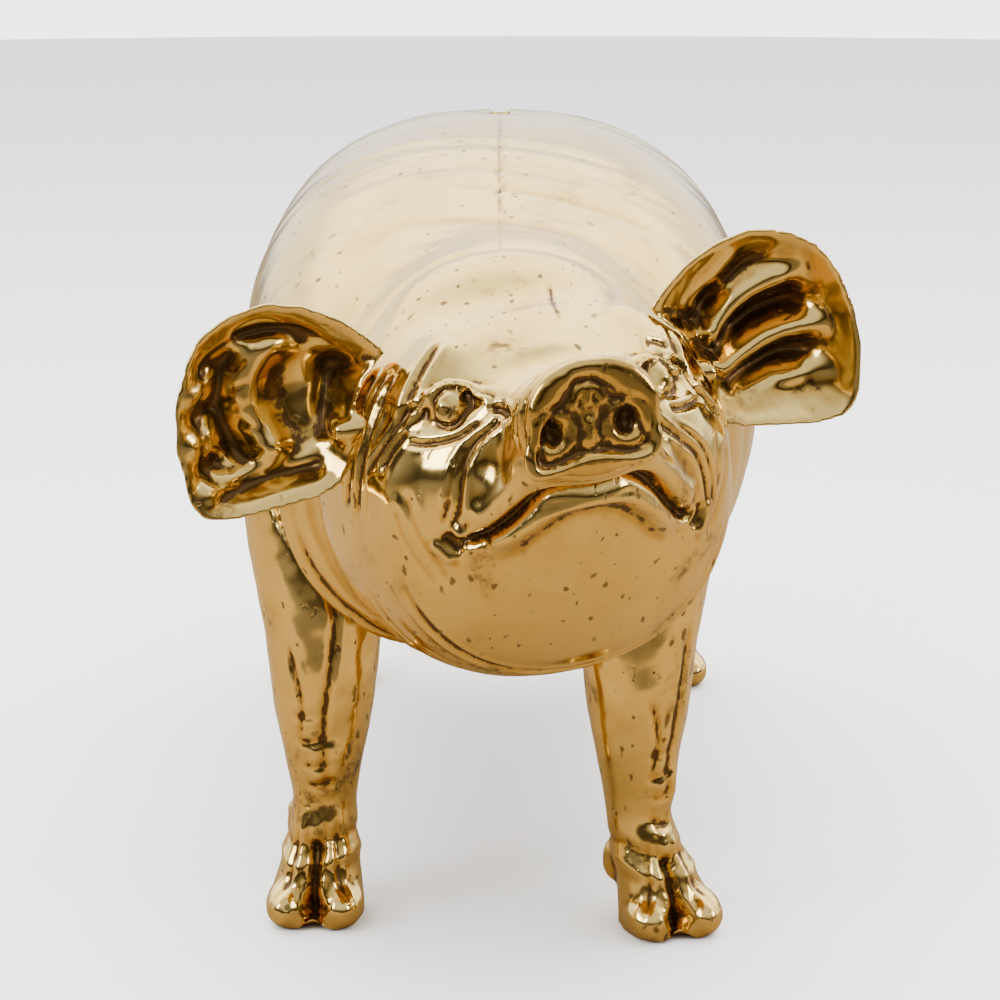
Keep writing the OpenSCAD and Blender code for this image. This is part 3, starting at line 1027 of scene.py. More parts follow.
@dataclass
class Studio:
    """Camera, floor and soft light.

    Args:
        eye: The camera's place in metres.
        pitch: Degrees that it looks down.
        lens: Its focal length on a 36 mm sensor.
        floor_size: The round floor's width in metres.
        ceiling: Brightness of the room's ceiling.
        overhead_share: Share of it that is left straight above and in front.
        wall: Brightness of the wall behind the bank.
        front: Brightness of the dark side behind the camera.
        backdrop: Brightness that the camera sees behind the bank.
    """

    eye: Point = (-0.0055, -0.6125, 0.235)
    pitch: float = 13.8
    lens: float = 93.6
    floor_size: float = 6.0
    ceiling: float = 3.8
    overhead_share: float = 0.26
    wall: float = 2.2
    front: float = 0.07
    backdrop: float = 4.0

    def build(self) -> None:
        """Sets the camera, the floor and the lights."""
        scene = bpy.context.scene
        data = bpy.data.cameras.new("camera")
        data.lens = self.lens
        data.sensor_width = 36.0
        camera = bpy.data.objects.new("camera", data)
        camera.location = self.eye
        camera.rotation_euler = (math.radians(90 - self.pitch), 0.0, 0.0)
        scene.collection.objects.link(camera)
        scene.camera = camera
        mesh = bpy.data.meshes.new("floor")
        bm = bmesh.new()
        bmesh.ops.create_circle(bm, cap_ends=True, segments=96, radius=self.floor_size / 2)
        bmesh.ops.translate(bm, verts=bm.verts, vec=(0.0, 0.05, -0.0002))
        bm.to_mesh(mesh)
        bm.free()
        floor = bpy.data.objects.new("floor", mesh)
        mesh.materials.append(PalePaper("floor_paper").make())
        scene.collection.objects.link(floor)
        scene.world = self.room()
        self.lamp("overhead", (0.0, -0.15, 1.1), (0.0, 0.0, 0.0), 1.6, 42.0, mirrored_too=False)
        self.lamp("left_side", (-0.9, -0.55, 0.55), (0.0, 0.0, 0.08), 0.45, 7.0)
        self.lamp("right_side", (1.0, -0.35, 0.45), (0.0, 0.0, 0.08), 0.35, 4.0)

    def room(self) -> bpy.types.World:
        """Makes the room: a white ceiling, a white wall behind and a dark front.

        Returns:
            The world.
        """
        world = bpy.data.worlds.new("studio")
        world.use_nodes = True
        tree = world.node_tree
        wires = Wiring(tree)
        way = wires.node("ShaderNodeTexCoord").outputs["Generated"]
        parts = wires.node("ShaderNodeSeparateXYZ", {0: way})
        ceiling = wires.ramp(parts.outputs["Z"], 0.10, 0.55, (0.0, self.ceiling))
        kept = wires.ramp(parts.outputs["Y"], -0.35, 0.55, (self.overhead_share, 1.0))
        ceiling = wires.math("MULTIPLY", ceiling, kept)
        wall = wires.ramp(parts.outputs["Y"], -0.2, 0.7, (0.0, self.wall))
        above = wires.ramp(parts.outputs["Z"], -0.12, 0.12)
        bright = wires.math("MAXIMUM", ceiling, wires.math("MULTIPLY", wall, above))
        glow = wires.math("ADD", self.front, bright)
        warm, white = (0.75, 0.62, 0.50, 1.0), (1.0, 1.0, 1.0, 1.0)
        tint = wires.mix(wires.math("MINIMUM", glow, 1.0), warm, white)
        seen = wires.node("ShaderNodeLightPath").outputs["Is Camera Ray"]
        shade = tree.nodes["Background"]
        tree.links.new(wires.mix(seen, tint, white), shade.inputs["Color"])
        level = wires.math("MULTIPLY", wires.math("SUBTRACT", 1.0, seen), glow)
        behind = wires.math("MULTIPLY", seen, self.backdrop)
        tree.links.new(wires.math("ADD", level, behind), shade.inputs["Strength"])
        return world

    @staticmethod
    def lamp(
        name: str, place: Point, target: Point, size: float, watts: float, mirrored_too: bool = True
    ) -> None:
        """Hangs one soft light.

        Args:
            name: Its name.
            place: Where it hangs, in metres.
            target: What it is turned to.
            size: The side of its diffuser in metres.
            watts: Its power.
            mirrored_too: Whether the polished metal mirrors it.
        """
        data = bpy.data.lights.new(name, "AREA")
        data.shape = "RECTANGLE"
        data.size = size
        data.size_y = size
        data.energy = watts
        lamp = bpy.data.objects.new(name, data)
        lamp.location = place
        lamp.visible_glossy = mirrored_too
        lamp.rotation_euler = (Vector(target) - Vector(place)).to_track_quat("-Z", "Y").to_euler()
        bpy.context.scene.collection.objects.link(lamp)


@dataclass
class BodyShells:
    """The two hollow shells of the body.

    Args:
        grain: The clay's grain in millimetres.
        slot_len: Length of the coin slot in millimetres.
        slot_width: Its width in millimetres.
        slot_middle: The place of its middle along the bank, in millimetres.
        wave_size: Distance between the soft folds round the body, in millimetres.
        wave_height: Their height in millimetres.
        joint_x: Place of the joint between the shells, in metres.
        neck_ring: The fold that fills the neck behind the right jaw.
    """

    grain: float = 1.0
    slot_len: float = 38.0
    slot_width: float = 5.0
    slot_middle: float = 59.2
    wave_size: float = 17.0
    wave_height: float = 0.16
    joint_x: float = field(default_factory=lambda: float(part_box("body_left_half")[0][0]))
    neck_ring: Line = (
        (-43.5, -60.0, 104.0), (-42.5, -61.0, 96.5), (-38.0, -62.0, 88.0),
        (-32.0, -62.5, 81.0), (-24.5, -63.0, 75.0), (-14.0, -63.5, 71.0),
    )

    def build(self, finishes: Finishes) -> None:
        """Models both shells and dresses them.

        Args:
            finishes: The bank's finishes.
        """
        own = OwnFrame((self.joint_x, 0.0, 0.0))
        clay = Clay("body", own)
        clay.add_solid("body_right_half")
        clay.add_solid("body_left_half")
        clay.drop_joint_faces(self.joint_x)
        clay.add_ball((3.0, -71.5, 110.0), (43.0, 22.0, 45.0))
        clay.add_ball((2.0, -65.5, 128.0), (33.0, 30.0, 32.0))
        for side in Side:
            clay.add_ball((side.value * 42.6, 104.5, 99.0), (22.0, 30.0, 31.0))
        clay.add_bead(self.neck_ring, 8.0, taper=0.3)
        for across in (-1.3, 1.3):
            clay.add_bead(tuple((across, y, 171.1) for y in (41.5, 53.0, 65.0, 77.0)), 1.95)
        clay.remesh(self.grain)
        clay.relax(110, self.soft_share(clay.points))
        rise = np.clip((clay.points[:, 2] - 0.105) / 0.02, 0, 1)
        near = np.exp(-(((clay.points[:, 1] + 0.052) / 0.026) ** 2))
        clay.relax(190, rise * near)
        self.waves(clay)
        clay.relax(3)
        clay.ripple(34.0, 0.18)
        clay.ripple(11.0, 0.035, 2.0)
        clay.work(self.folds())
        clay.relax(1)
        whole = clay.cast()
        self.cut_slot(whole)
        clay.thin_inside(whole, 0.76)
        for side, node in ((Side.RIGHT, "body_right_half"), (Side.LEFT, "body_left_half")):
            finish_piece(self.half(whole, side), finishes.body, "polished_brass", node)
        bpy.data.objects.remove(whole)

    def waves(self, clay: Clay) -> None:
        """Leaves the soft folds that run round the back and the flanks."""
        normals = clay.normals()
        x, y, z = clay.points[:, 0], clay.points[:, 1], clay.points[:, 2]
        bend = 5.0 * MM * np.sin(x * 55.0) + 4.0 * MM * np.sin(z * 70.0 + 1.0)
        turns = (y + bend) * (2 * math.pi / (self.wave_size * MM))
        swell = np.sin(turns) + 0.6 * np.sin(1.7 * turns + 30.0 * x + 2.0)
        swell += 0.4 * np.sin(2.9 * turns - 40.0 * z)
        patch = 0.5 + 0.5 * np.sin(x * 48.0 + 2.0 * np.sin(y * 40.0)) * np.sin(z * 60.0 + 1.4)
        clay.points = clay.points + normals * (swell * patch * self.wave_height * MM)[:, None]

    def soft_share(self, points: np.ndarray) -> np.ndarray:
        """Says how much each point may be smoothed, so the screw holes and the trap stay true.

        Args:
            points: The clay's points in metres.

        Returns:
            A share from 0 to 1 for each point.
        """
        share = np.ones(len(points))
        for node in ("assembly_screw_front", "assembly_screw_rear", "trap_ring"):
            low, high = (np.array(corner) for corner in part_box(node))
            gap = np.maximum(np.maximum(low - points, points - high), 0)
            share *= np.clip(np.linalg.norm(gap, axis=1) / (7.0 * MM) - 0.2, 0, 1)
        return share

    def folds(self) -> list[Stroke]:
        """Gives the wrinkles of the neck and the line of the joint."""
        strokes = []
        for i, reach in enumerate((47.0, 51.5, 56.0, 61.0)):
            angles = np.radians(range(188, 356, 12))
            arc = tuple((reach * math.cos(a), -66.0 + 5.0 * i, 112.0 + reach * math.sin(a)) for a in angles)
            strokes.append(Stroke(arc, 1.5, -0.8, stain=0.55 - 0.1 * i, lip=0.45))
        spine = tuple((0.0, y, 200.0) for y in range(-60, 34, 8))
        strokes.append(Stroke(spine, 0.8, -0.25, stain=0.42, fade=0.05))
        rump = tuple((0.0, y, 200.0 - 0.4 * (y - 84)) for y in range(84, 136, 8))
        strokes.append(Stroke(rump, 0.8, -0.25, stain=0.4, fade=0.05))
        return strokes

    def cut_slot(self, whole: bpy.types.Object) -> None:
        """Cuts the round-ended coin slot through the crown of the back.

        Args:
            whole: The whole body.
        """
        bm = bmesh.new()
        made = bmesh.ops.create_cube(bm, size=1.0)
        size = (self.slot_width * MM, self.slot_len * MM, 0.024)
        bmesh.ops.transform(bm, matrix=Matrix.Diagonal((*size, 1.0)), verts=made["verts"])
        upright = [e for e in bm.edges if abs(e.verts[0].co.z - e.verts[1].co.z) > 0.01]
        bmesh.ops.bevel(
            bm,
            geom=upright,
            offset=self.slot_width * 0.48 * MM,
            segments=8,
            affect="EDGES",
            profile=0.5,
            material=-1,
        )
        bmesh.ops.translate(bm, verts=bm.verts, vec=(self.joint_x, self.slot_middle * MM, 0.172))
        mesh = bpy.data.meshes.new("slot_cutter")
        bm.to_mesh(mesh)
        bm.free()
        cutter = bpy.data.objects.new("slot_cutter", mesh)
        bpy.context.scene.collection.objects.link(cutter)
        cut = whole.modifiers.new("slot", "BOOLEAN")
        cut.operation = "DIFFERENCE"
        cut.solver = "FAST"
        cut.object = cutter
        done = worked_mesh(whole)
        whole.modifiers.clear()
        whole.data = done
        bpy.data.objects.remove(cutter)
        bpy.data.meshes.remove(mesh)

    def half(self, whole: bpy.types.Object, side: Side) -> bpy.types.Object:
        """Parts the body on its joint and closes the cut.

        Args:
            whole: The whole body.
            side: The shell to keep.

        Returns:
            The shell's object.
        """
        bm = bmesh.new()
        bm.from_mesh(whole.data)
        cut = bmesh.ops.bisect_plane(
            bm,
            geom=bm.verts[:] + bm.edges[:] + bm.faces[:],
            plane_co=(self.joint_x, 0.0, 0.0),
            plane_no=(-float(side.value), 0.0, 0.0),
            clear_outer=True,
        )
        rim = [item for item in cut["geom_cut"] if isinstance(item, bmesh.types.BMEdge)]
        outward = (-side.value, 0, 0)
        bmesh.ops.triangle_fill(bm, use_beauty=True, use_dissolve=False, edges=rim, normal=outward)
        name = "body_shell_right" if side is Side.RIGHT else "body_shell_left"
        mesh = bpy.data.meshes.new(name)
        bm.to_mesh(mesh)
        bm.free()
        mesh.shade_smooth()
        piece = bpy.data.objects.new(name, mesh)
        bpy.context.scene.collection.objects.link(piece)
        return piece


def head_frame() -> HeadFrame:
    """Gives the head's frame from the body's box."""
    low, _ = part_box("body_left_half")
    _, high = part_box("body_right_half")
    return HeadFrame((float(low[0]) + 3.0 * MM, float(high[1]) - 214.0 * MM, 113.0 * MM))


def mirrored(line: Line) -> Line:
    """Gives a line on the other side of the head."""
    return tuple((-x, y, z) for x, y, z in line)


@dataclass
class Head:
    """The hollow head with its snout disc, eyes, mouth and folds.

    Args:
        rough_grain: Grain of the first clay in millimetres.
        grain: Grain of the finished clay in millimetres.
        disc_rim: Radius of the rolled rim of the snout disc.
        nostril: Radius of a nostril's ring.
        eyeball: Radius of an eyeball.
        right_nostril: Centre of the right nostril, in head millimetres.
        left_nostril: Centre of the left nostril.
        right_eye: Centre of the right eyeball.
        left_eye: Centre of the left eyeball.
        upper_lid: Radius of the bead of an upper lid.
        lower_lid: Radius of the bead of a lower lid.
        right_upper_lid: The line of each lid's bead, from the outer corner in.
        right_lower_lid: The same below the right eye.
        left_upper_lid: The same over the left eye.
        left_lower_lid: The same below the left eye.
    """

    rough_grain: float = 1.0
    grain: float = 0.63
    disc_rim: float = 1.7
    nostril: float = 3.0
    eyeball: float = 3.9
    right_nostril: Point = (-7.9, 71.4, 20.9)
    left_nostril: Point = (5.7, 71.4, 20.9)
    right_eye: Point = (-20.8, 42.4, 22.6)
    left_eye: Point = (20.4, 43.4, 20.4)
    upper_lid: float = 1.25
    lower_lid: float = 1.0
    right_upper_lid: Line = (
        (-28.6, 38.4, 18.6), (-25.6, 39.6, 24.0), (-21.5, 42.0, 27.2), (-17.5, 44.6, 27.0),
        (-14.2, 49.8, 24.6),
    )
    right_lower_lid: Line = (
        (-28.6, 38.6, 18.2), (-25.0, 42.2, 18.6), (-20.6, 45.4, 19.8), (-16.8, 48.4, 21.8),
        (-14.2, 50.2, 24.0),
    )
    left_upper_lid: Line = (
        (27.6, 40.0, 15.2), (25.0, 41.4, 21.2), (21.2, 43.4, 24.9), (17.2, 45.6, 25.2),
        (14.0, 49.8, 23.4),
    )
    left_lower_lid: Line = (
        (27.6, 40.2, 15.0), (24.2, 43.6, 16.0), (20.2, 46.4, 17.4), (16.6, 48.8, 19.8),
        (14.0, 50.4, 22.6),
    )

    def build(self, finishes: Finishes) -> None:
        """Models the head and dresses it.

        Args:
            finishes: The bank's finishes.
        """
        own = head_frame()
        clay = Clay("head_casting", own)
        clay.add_solid("head")
        clay.add_ball((0.0, 9.0, 21.5), (30.0, 21.0, 24.0))
        clay.remesh(self.rough_grain)
        keep = np.clip((clay.points[:, 1] - float(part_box("head")[0][1])) / (30 * MM), 0.12, 1)
        clay.relax(40, keep)
        clay.work(self.big_forms())
        clay.relax(4)
        self.dish(clay)
        clay.push_back()
        self.beads(clay)
        clay.remesh(self.grain)
        clay.relax(3)
        clay.work(self.wrinkles())
        clay.relax(1)
        clay.ripple(13.0, 0.05)
        finish_piece(clay.cast(kept=0.66), finishes.head, "polished_brass", "head")

    def outline(self, inset: float, out: float) -> Line:
        """Gives the outline of the snout disc.

        Args:
            inset: How far inside the edge, in millimetres.
            out: How far out from the neck, in millimetres.

        Returns:
            The closed line.
        """
        rows = (
            (-0.7, 34.6), (4.4, 33.0), (8.4, 28.6), (11.0, 23.4), (12.6, 17.6), (12.4, 14.4), (9.2, 12.8),
            (3.0, 13.2), (-4.5, 13.4), (-11.0, 13.2), (-14.0, 13.6), (-14.4, 16.6), (-13.0, 22.0),
            (-10.0, 29.0), (-5.6, 33.4),
        )
        centre = (-1.0, 22.0)
        line = []
        for x, z in rows:
            reach = math.hypot(x - centre[0], z - centre[1])
            share = (reach - inset) / reach
            line.append((centre[0] + (x - centre[0]) * share, out, centre[1] + (z - centre[1]) * share))
        return tuple(line)

    def dish(self, clay: Clay) -> None:
        """Hollows the face of the snout disc inside its rim."""
        for x, z in ((-7.5, 20.0), (-1.0, 24.0), (5.0, 20.0), (-1.5, 17.0)):
            clay.press((x, 74.0, z), 5.0, (0.0, -1.1, 0.0))

    def beads(self, clay: Clay) -> None:
        """Adds the disc's rim, the nostril rings, the eyeballs and the lids."""
        clay.add_bead(self.outline(self.disc_rim, 71.9), self.disc_rim, closed=True)
        for nostril in (self.right_nostril, self.left_nostril):
            clay.add_bead(ring(nostril, self.nostril * 0.9, self.nostril * 1.05), 1.15, closed=True)
        for eye in (self.right_eye, self.left_eye):
            clay.add_ball(eye, (self.eyeball,) * 3)
        for lid in (self.right_upper_lid, self.left_upper_lid):
            clay.add_bead(lid, self.upper_lid, taper=0.5)
        for lid in (self.right_lower_lid, self.left_lower_lid):
            clay.add_bead(lid, self.lower_lid, taper=0.5)

    def big_forms(self) -> list[Stroke]:
        """Gives the broad forms: brow, cheeks, muzzle and jaw."""
        right = [
            Stroke(((-16.0, 30.0, 33.0), (-24.0, 33.0, 29.0), (-31.0, 33.0, 21.0)), 5.0, 1.7),
            Stroke(((-25.0, 44.0, 9.0), (-30.0, 40.0, 3.0)), 8.0, 2.0, fade=0.0),
            Stroke(((-15.5, 51.0, 27.0), (-13.0, 57.0, 20.0), (-17.0, 53.0, 10.0)), 3.6, -1.6),
            Stroke(((-20.6, 44.0, 23.0), (-20.0, 44.0, 22.6)), 6.5, -1.4, fade=0.0),
        ]
        left = [Stroke(mirrored(one.line), one.width, one.height, fade=one.fade) for one in right]
        middle = [
            Stroke(((0.0, 30.0, 38.0), (0.0, 48.0, 31.0)), 8.0, 1.2),
            Stroke(((0.0, 56.0, 30.0), (0.0, 64.0, 32.0)), 7.0, -0.8),
        ]
        return right + left + middle

    def wrinkles(self) -> list[Stroke]:
        """Gives the folds, lips and fine wrinkles."""
        return (
            self.mouth()
            + self.around_eye(self.right_eye, Side.RIGHT)
            + self.around_eye(self.left_eye, Side.LEFT)
            + self.cheeks()
            + self.snout()
            + self.brow()
            + self.throat()
        )

    def mouth(self) -> list[Stroke]:
        """Gives the mouth line with both rolled lips."""
        line = (
            (-24.4, 48.2, -2.6), (-22.0, 50.4, -2.2), (-18.6, 53.2, -0.6), (-15.4, 56.0, 2.0),
            (-12.4, 59.4, 5.2), (-9.4, 62.4, 7.8), (-4.0, 64.0, 9.0), (2.6, 64.0, 9.0),
            (8.6, 62.6, 7.8), (13.4, 58.4, 4.4), (17.2, 54.0, -0.8), (20.8, 50.2, -5.4),
            (23.6, 48.0, -6.6),
        )
        upper = (
            (-23.0, 50.2, 2.2), (-18.4, 54.2, 4.0), (-14.6, 57.6, 7.2), (-11.6, 62.0, 11.0),
            (-9.4, 66.5, 13.4),
        )
        upper_left = (
            (9.6, 66.5, 13.4), (13.4, 61.0, 9.8), (17.4, 56.0, 4.8), (21.2, 51.4, -0.6), (24.2, 48.6, -3.0),
        )
        lower = (
            (-20.6, 50.6, -5.2), (-16.4, 54.0, -2.6), (-12.2, 57.6, 0.8), (-7.0, 60.6, 4.4), (0.0, 61.4, 6.4),
            (6.6, 60.0, 4.6), (11.4, 56.6, 0.2), (15.6, 52.6, -5.0), (19.2, 49.4, -9.0),
        )
        right_corner = ((-26.2, 46.4, -0.4), (-25.0, 47.6, -2.8), (-23.6, 48.6, -5.0))
        left_corner = ((25.6, 46.0, -4.6), (25.0, 46.4, -7.6), (23.4, 47.4, -9.8))
        return [
            Stroke(upper, 2.6, 1.7),
            Stroke(upper_left, 2.6, 1.7),
            Stroke(lower, 1.9, 2.2),
            Stroke(line, 0.95, -2.6, stain=1.0, lip=0.15, fade=0.06),
            Stroke(right_corner, 1.5, -1.3, stain=0.8, lip=0.7),
            Stroke(left_corner, 1.5, -1.3, stain=0.8, lip=0.7),
            Stroke(((-20.6, 52.0, -1.6), (-19.0, 52.4, -4.2)), 1.2, -0.9, stain=0.7),
        ]

    def around_eye(self, eye: Point, side: Side) -> list[Stroke]:
        """Gives the creases round one eye.

        Args:
            eye: The eyeball'way centre.
            side: Which eye it is.

        Returns:
            The strokes.
        """
        way = float(side.value)
        x, out, z = eye
        iris = ring((x + way * 0.8, out + 2.4, z + 0.8), 4.0, 3.9, sway=way * 1.6)
        pupil = ring((x + way * 2.0, out + 3.2, z + 1.6), 1.5, 1.5, sway=way * 0.8)

        def beside(*steps: Point) -> Line:
            """Gives places beside the eye, each a step outwards, ahead and up."""
            return tuple((x + way * away, out + ahead, z + up) for away, ahead, up in steps)

        upper = beside(
            (10.0, -5.0, -4.0), (7.4, -3.0, 3.4), (2.0, 0.0, 7.6), (-4.0, 3.6, 6.6), (-7.8, 8.6, 1.8)
        )
        lower = beside((9.8, -3.0, -5.6), (4.6, 1.4, -6.4), (-1.0, 5.0, -5.4), (-6.0, 8.0, -2.6))
        above = tuple((a, b - 1.2, c + 2.2) for a, b, c in upper[1:4])
        corner = beside((9.0, -3.0, -3.6), (12.0, -5.0, -7.0), (14.0, -7.0, -12.0))
        inner = beside((-6.4, 8.0, 0.4), (-9.0, 11.0, -0.6), (-10.6, 13.0, -3.6))
        return [
            Stroke(iris, 0.65, -0.9, stain=1.0, closed=True),
            Stroke(pupil, 0.45, -0.3, stain=0.5, closed=True),
            Stroke(upper, 0.75, -1.2, stain=0.95, lip=0.35),
            Stroke(above, 0.6, -0.5, stain=0.45, lip=0.5),
            Stroke(lower, 0.65, -0.9, stain=0.8, lip=0.3),
            Stroke(corner, 0.8, -0.9, stain=0.9, lip=0.4),
            Stroke(inner, 0.8, -1.0, stain=0.9, lip=0.4),
        ]

    def cheeks(self) -> list[Stroke]:
        """Gives the creases down both cheeks and the folds at the ear roots."""
        right_line = (
            (-12.6, 53.6, 24.0), (-15.4, 54.0, 20.8), (-18.8, 52.0, 17.0), (-21.4, 50.8, 12.4),
            (-23.2, 49.8, 4.8), (-25.2, 47.8, -0.4),
        )
        left_line = (
            (14.4, 54.4, 21.0), (18.4, 53.9, 14.2), (24.8, 48.0, 6.0), (27.0, 46.0, -0.4), (27.7, 43.8, -9.6),
        )
        right_temple = ((-17.0, 31.5, 33.4), (-24.3, 35.0, 27.4), (-30.2, 36.4, 19.9), (-37.0, 30.7, 8.7))
        left_temple = ((25.3, 28.9, 29.3), (27.3, 38.5, 20.2), (30.2, 38.5, 12.3), (35.6, 31.0, 4.0))
        strokes = []
        for line, shift in ((right_line, -2.0), (left_line, 2.0)):
            echo = tuple((x + shift, out, z + 1.0) for x, out, z in line[1:])
            strokes.append(Stroke(line, 0.75, -0.9, stain=0.6, lip=0.4))
            strokes.append(Stroke(echo, 0.7, -0.5, stain=0.3, lip=0.6))
        for line in (right_temple, left_temple):
            strokes.append(Stroke(line, 0.8, -0.7, stain=0.4, lip=0.4))
        for side in Side:
            way = float(side.value)
            for i, out in enumerate((29.0, 25.0, 21.5)):
                steps = ((29.0, 0.0, 29.0), (35.0, 0.0, 21.0), (38.0, -1.0, 10.0), (38.5, -3.0, 0.0))
                fold = tuple((way * x, out + back, z) for x, back, z in steps)
                strokes.append(Stroke(fold, 1.3, -0.9 + 0.1 * i, stain=0.5 - 0.12 * i, lip=0.5))
            for i, out in enumerate((46.0, 42.0)):
                crease = ((way * 31.0, out - 4, 8.0), (way * 31.0, out - 2, -2.0), (way * 27.0, out, -13.0))
                strokes.append(Stroke(crease, 1.3, -0.35, lip=0.4))
        return strokes

    def snout(self) -> list[Stroke]:
        """Gives the folds on and behind the snout disc."""
        strokes = []
        for x, out, z in (self.right_nostril, self.left_nostril):
            hole = ((x, out + 1.0, z + 0.6), (x, out + 1.0, z - 0.6))
            strokes.append(Stroke(hole, 1.7, -3.4, stain=1.0, fade=0.0))
            halo = ring((x, out + 1.0, z), 5.0, 5.2)
            strokes.append(Stroke(halo, 0.9, -0.5, stain=0.85, closed=True))
        face = ((-6.0, 72.0, 22.0), (4.0, 72.0, 23.0))
        bridge = ((-1.2, 72.0, 24.0), (-1.4, 72.0, 20.0), (-1.4, 72.0, 15.8))
        strokes.append(Stroke(face, 12.5, 0.0, stain=0.72, fade=0.0))
        strokes.append(Stroke(self.outline(4.0, 72.0), 1.1, -0.9, stain=1.0, closed=True))
        strokes.append(Stroke(self.outline(-0.6, 69.4), 1.2, -1.1, stain=0.8, closed=True))
        strokes.append(Stroke(bridge, 1.1, 1.0, fade=0.3))
        for shift in (-4.6, -1.6, 1.6, 4.4):
            spread = ((0.4, 31.5), (0.6, 28.5), (1.25, 25.6))
            crease = tuple((shift * share - 1.0, 72.0, z) for share, z in spread)
            strokes.append(Stroke(crease, 0.7, -0.7, stain=0.7, lip=0.5))
        for i, out in enumerate((66.6, 63.6, 60.2, 56.6)):
            wide = 13.4 + 0.8 * i
            right = (
                (-wide, out - 1.0, 17.0), (-wide * 0.9, out - 0.5, 26.0), (-wide * 0.45, out, 33.0),
            )
            arc = (*right, (0.0, out + 0.6, 35.0), *reversed(mirrored(right)))
            strokes.append(Stroke(arc, 0.9, -0.75 + 0.1 * i, stain=0.7 - 0.12 * i, lip=0.7))
        return strokes

    def brow(self) -> list[Stroke]:
        """Gives the forehead's crease."""
        crease = ((7.0, 22.5, 39.0), (5.2, 31.0, 36.5), (4.0, 38.0, 33.4))
        return [Stroke(crease, 0.55, -0.5, stain=0.9, lip=0.3, fade=0.3)]

    def throat(self) -> list[Stroke]:
        """Gives the wrinkles that run from ear to ear under the jaw."""
        strokes = []
        for i, out in enumerate((40.0, 35.5, 31.0, 26.5, 22.0, 17.5)):
            angles = np.radians(range(186 + 9 * (i % 3), 360 - 7 * (i % 2), 12))
            sway = [(3.0 + i) * math.sin(a * (1.0 + 0.06 * i)) for a in angles]
            arc = tuple(
                (40.0 * math.cos(a), out + move, -2.0 + 43.0 * math.sin(a)) for a, move in zip(angles, sway)
            )
            deep = (0.7, 0.35, 0.6, 0.3, 0.5, 0.4)[i]
            strokes.append(Stroke(arc, 1.1 + 0.3 * (i % 3), -deep, stain=0.55 * deep, lip=0.5))
        return strokes


